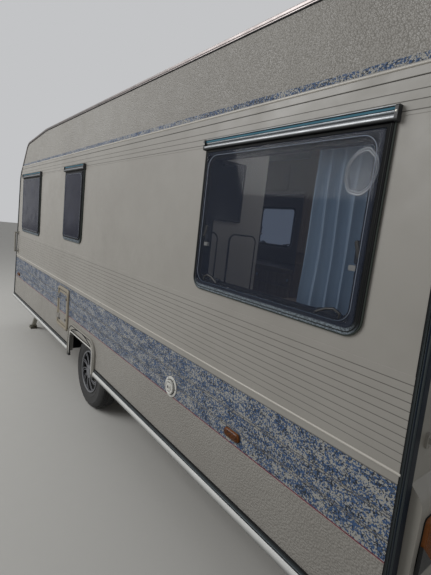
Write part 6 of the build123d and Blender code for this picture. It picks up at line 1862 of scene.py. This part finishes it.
@dataclass
class Curtains:
    """Gathered curtains at the rear side windows, each hung from its rail.

    Attributes:
        rows: Name, side, start and stop along the body, and the number of pleats.
        side: Middle of the cloth's pleats from the body's middle.
        top: Height of the heading.
        foot: Height of the hem.
        rail: Length, half width and half thickness of a rail, in millimetres.
    """

    rows: tuple[tuple[str, int, float, float, int], ...] = (("left", 1, 0.25, 0.56, 5),
                                                            ("right_rear", -1, 0.25, 0.56, 5),
                                                            ("right_front", -1, 0.9, 1.12, 4))
    side: float = 1.076
    top: float = 2.078
    foot: float = 1.334
    rail: Triple = (930.0, 9.0, 6.0)

    def cloth(self, sign: int, start: float, stop: float, pleats: int) -> tuple[Array, Array]:
        """Pleated cloth, with a mark that grows into the valleys seen from outside and paints shade there.

        Across it, the depth is a sine of the pleats whose phase wanders with the height, and the swing
        grows from 11 mm at the heading to 17 mm at the hem. The length along the body is even, moved by a
        small second sine, so that the folds lean on each other.
        """
        u = np.linspace(0, 1, 24 * pleats + 1)[:, None]
        v = np.linspace(0, 1, 41)[None, :]
        phase = 2 * math.pi * pleats * u + 0.5 * np.sin(4.1 * v + 7 * u) + 0.25 * np.sin(11 * v + 3 * start)
        wave = 0.86 * np.sin(phase) + 0.14 * np.sin(2 * phase + 1.3)
        depth = (0.011 + 0.006 * v ** 0.6) * wave
        width = stop - start - 0.016
        length = start + 0.008 + width * (u + 0.42 / pleats / 6 * np.sin(2 * phase) * v)
        height = self.top + (self.foot - self.top) * v + 0 * u
        return np.stack([REAR_X + length + 0 * v, sign * (self.side - depth), height], 2), 0.55 + 0.2 * wave

    def build(self) -> None:
        """Hangs each curtain, logs its flat size and adds the rails."""
        for name, sign, start, stop, pleats in self.rows:
            points, mark = self.cloth(sign, start, stop, pleats)
            made = add_piece(f"curtain_{name}", Shape().grid(points, flip=sign > 0, mark=mark), CURTAIN,
                             replaces="curtains")
            width = float(np.linalg.norm(np.diff(points, axis=0), axis=2).sum(0).mean())
            drop = self.top - self.foot
            LOG.info("curtain %s: flat width %.3f, length %.3f", name, width, drop)
            spread = np.meshgrid(*(np.linspace(0, size, count) for size, count
                                   in zip((width, drop), points.shape)), indexing="ij")
            add_uv(made, np.stack(spread, 2).reshape(-1, 2))
        rails = Shape()
        length, wide, thick = self.rail
        for sign in (-1, 1):
            base = stand(0.6875, sign * self.side, 2.086, FORWARD, (0.0, float(sign), 0.0))
            corners = [(-wide, -thick), (-wide, thick), (wide, thick), (wide, -thick)]
            rails.bar(base, length * MM, corners if sign < 0 else corners[2:] + corners[:2])
        add_piece("curtain_rails", rails, WHITE)


# Carried-over nodes and their finishes

NODE_FINISHES = (
    (FLOORING, "floor_panel"), (WALL, "side_wall_left side_wall_right door_panel service_hatch_door"),
    (END_PANEL, "rear_wall front_wall gas_locker_lid rear_lamp_panel"), (ROOF, "roof_panel"),
    (ARCH, "wheel_arches"), (BOX, "wheel_boxes gas_locker_box"), (BLACK_SEAL_AND_SHADE, "window_frames"),
    (PRIVACY, "door_light"), (RAIL, "door_surround"), (BLACK, "door_handle"),
    (WHITE, "roof_hatch_frames roof_vents fridge_vents"), (HANDLE, "grab_handles"),
    (LID, "roof_hatch_lid_main roof_hatch_lid_washroom"), (CLEAR, "front_lamps"),
    (GALVANISED, "chassis_beams drawbar axle"), (RIM_BLACK, "rim_left rim_right"),
    (CAST, "overrun_housing handbrake_lever"),
    (ZINC, "coupling_head jockey_tube jockey_leg jockey_fork steady_front_left steady_front_right "
           "steady_rear_left steady_rear_right"),
    (SOLID_RUBBER, "jockey_wheel"), (WOOD, "seat_bases table kitchen_unit cabinets"))


def finish_nodes(frame: dict) -> None:
    """Gives each carried-over node its finish, in every material slot."""
    for finish, names in NODE_FINISHES:
        material = finish.material()
        for name in names.split():
            mesh = frame["nodes"][name].data
            if not mesh.materials:
                mesh.materials.append(material)
            for i in range(len(mesh.materials)):
                mesh.materials[i] = material


def add_stage(name: str, data: bpy.types.ID, turn: Matrix | None = None) -> bpy.types.Object:
    """Adds an object that isn't a part of the caravan.

    Args:
        name: Its name.
        data: Its mesh, lamp or camera.
        turn: Matrix that places it, if not at the origin.

    Returns:
        The new object.
    """
    made = bpy.data.objects.new(name, data)
    if turn is not None:
        made.matrix_world = turn
    bpy.context.scene.collection.objects.link(made)
    return made


@dataclass
class Studio:
    """Plain pale floor and surroundings, soft lights and the camera at the photograph's place.

    Attributes:
        place: Where the camera stands.
        yaw: Its heading from the X axis, in degrees.
        pitch: Its tilt upwards, in degrees.
        roll: Its turn about its own line of sight, in degrees.
        lens: Focal length for a 36 mm tall sensor.
        floor: Colour of the floor.
        reach: How far the floor runs from the middle.
        sky: Colour that the camera sees round the object.
        fill: Strength of the even light from all round.
        lamps: Name, place, aim, size and power of each soft lamp.
    """

    place: Triple = (-3.7137, 2.24, 1.6317)
    yaw: float = -38.774
    pitch: float = -8.635
    roll: float = -6.456
    lens: float = 23.87
    floor: str = "#b9b8b4"
    reach: float = 40.0
    sky: str = "#c3c4c6"
    fill: float = 0.38
    lamps: tuple[tuple, ...] = (("key", (1.8, 6.6, 4.8), (0.5, 1.0, 1.2), 5.0, 375.0),
                                ("rear", (-9.0, 3.0, 4.0), (-3.3, 0.0, 1.2), 4.0, 15.0),
                                ("cabin", (-2.2, 0.0, 2.38), (-2.2, 0.0, 0.0), 0.6, 2.2),
                                ("far", (1.0, -8.0, 5.0), (-0.5, -1.0, 1.2), 5.0, 180.0))

    def camera(self) -> None:
        """Camera from yaw, pitch and roll: its axes are the line of sight and the two at right angles."""
        yaw, pitch, roll = (math.radians(a) for a in (self.yaw, self.pitch, self.roll))
        sight = Vector((math.cos(pitch) * math.cos(yaw), math.cos(pitch) * math.sin(yaw), math.sin(pitch)))
        level = sight.cross(Vector(UP)).normalized()
        drop = sight.cross(level)
        right = math.cos(roll) * level + math.sin(roll) * drop
        up = math.sin(roll) * level - math.cos(roll) * drop
        turn = Matrix((right, up, -sight)).transposed()
        data = bpy.data.cameras.new("camera")
        data.sensor_fit = "VERTICAL"
        data.sensor_height = 36.0
        data.lens = self.lens
        data.clip_start = 0.02
        bpy.context.scene.camera = add_stage("camera", data, Matrix.Translation(self.place) @ turn.to_4x4())

    def light(self, name: str, place: Triple, aim: Triple, size: float, power: float) -> None:
        """A square soft lamp that faces a point."""
        data = bpy.data.lights.new(name, "AREA")
        data.size = size
        data.energy = power
        turn = (Vector(aim) - Vector(place)).to_track_quat("-Z", "Y").to_matrix().to_4x4()
        add_stage(name, data, Matrix.Translation(place) @ turn)

    def surroundings(self) -> None:
        """World: an even pale light, shown as the pale backdrop to camera, gloss and clear panes."""
        world = bpy.data.worlds.new("studio")
        bpy.context.scene.world = world
        world.use_nodes = True
        tree = world.node_tree
        rays = add_node(tree, "LightPath")
        seen = rays["Is Camera Ray"]
        for name in ("Is Glossy Ray", "Is Transmission Ray"):
            seen = add_node(tree, "Math", {0: seen, 1: rays[name]}, operation="MAXIMUM")[0]
        shade = add_node(tree, "Mix", {"Factor": seen, "A": (self.fill,) * 3 + (1.0,), "B": self.sky},
                         data_type="RGBA")["Result"]
        tree.links.new(shade, tree.nodes["Background"].inputs["Color"])

    def build(self) -> None:
        """Builds the floor, the surroundings, the lights and the camera."""
        bpy.context.scene.view_settings.view_transform = "Standard"
        ends = np.array((-self.reach, self.reach))
        corners = np.stack([*np.meshgrid(ends, ends, indexing="ij"), np.zeros((2, 2))], 2)
        made = add_stage("floor", Shape().grid(corners).mesh("floor"))
        paper = Finish("floor_matt_paper", self.floor, stain=self.floor, roughness=0.8)
        made.data.materials.append(paper.material())
        self.surroundings()
        for lamp in self.lamps:
            self.light(*lamp)
        self.camera()


def main() -> None:
    """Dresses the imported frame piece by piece."""
    logging.basicConfig(level=logging.INFO, format="%(message)s")
    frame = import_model()
    finish_nodes(frame)
    parts = (WallSkins(), EdgeTrims(), SkirtRails(), Windows(), WheelArches(),
             RoadWheel("left", Body.WHEEL_LEFT, 1), RoadWheel("right", Body.WHEEL_RIGHT, -1), ServiceHatch(),
             SideFittings(), RearEnd(), EntranceDoor(), FrontEnd(), RoofFittings(), TowGear(), Furniture(),
             Wardrobe(), Cushions(), Curtains())
    for part in parts:
        LOG.info("building %s", type(part).__name__)
        part.build()
    Studio().build()


if __name__ == "__main__":
    main()
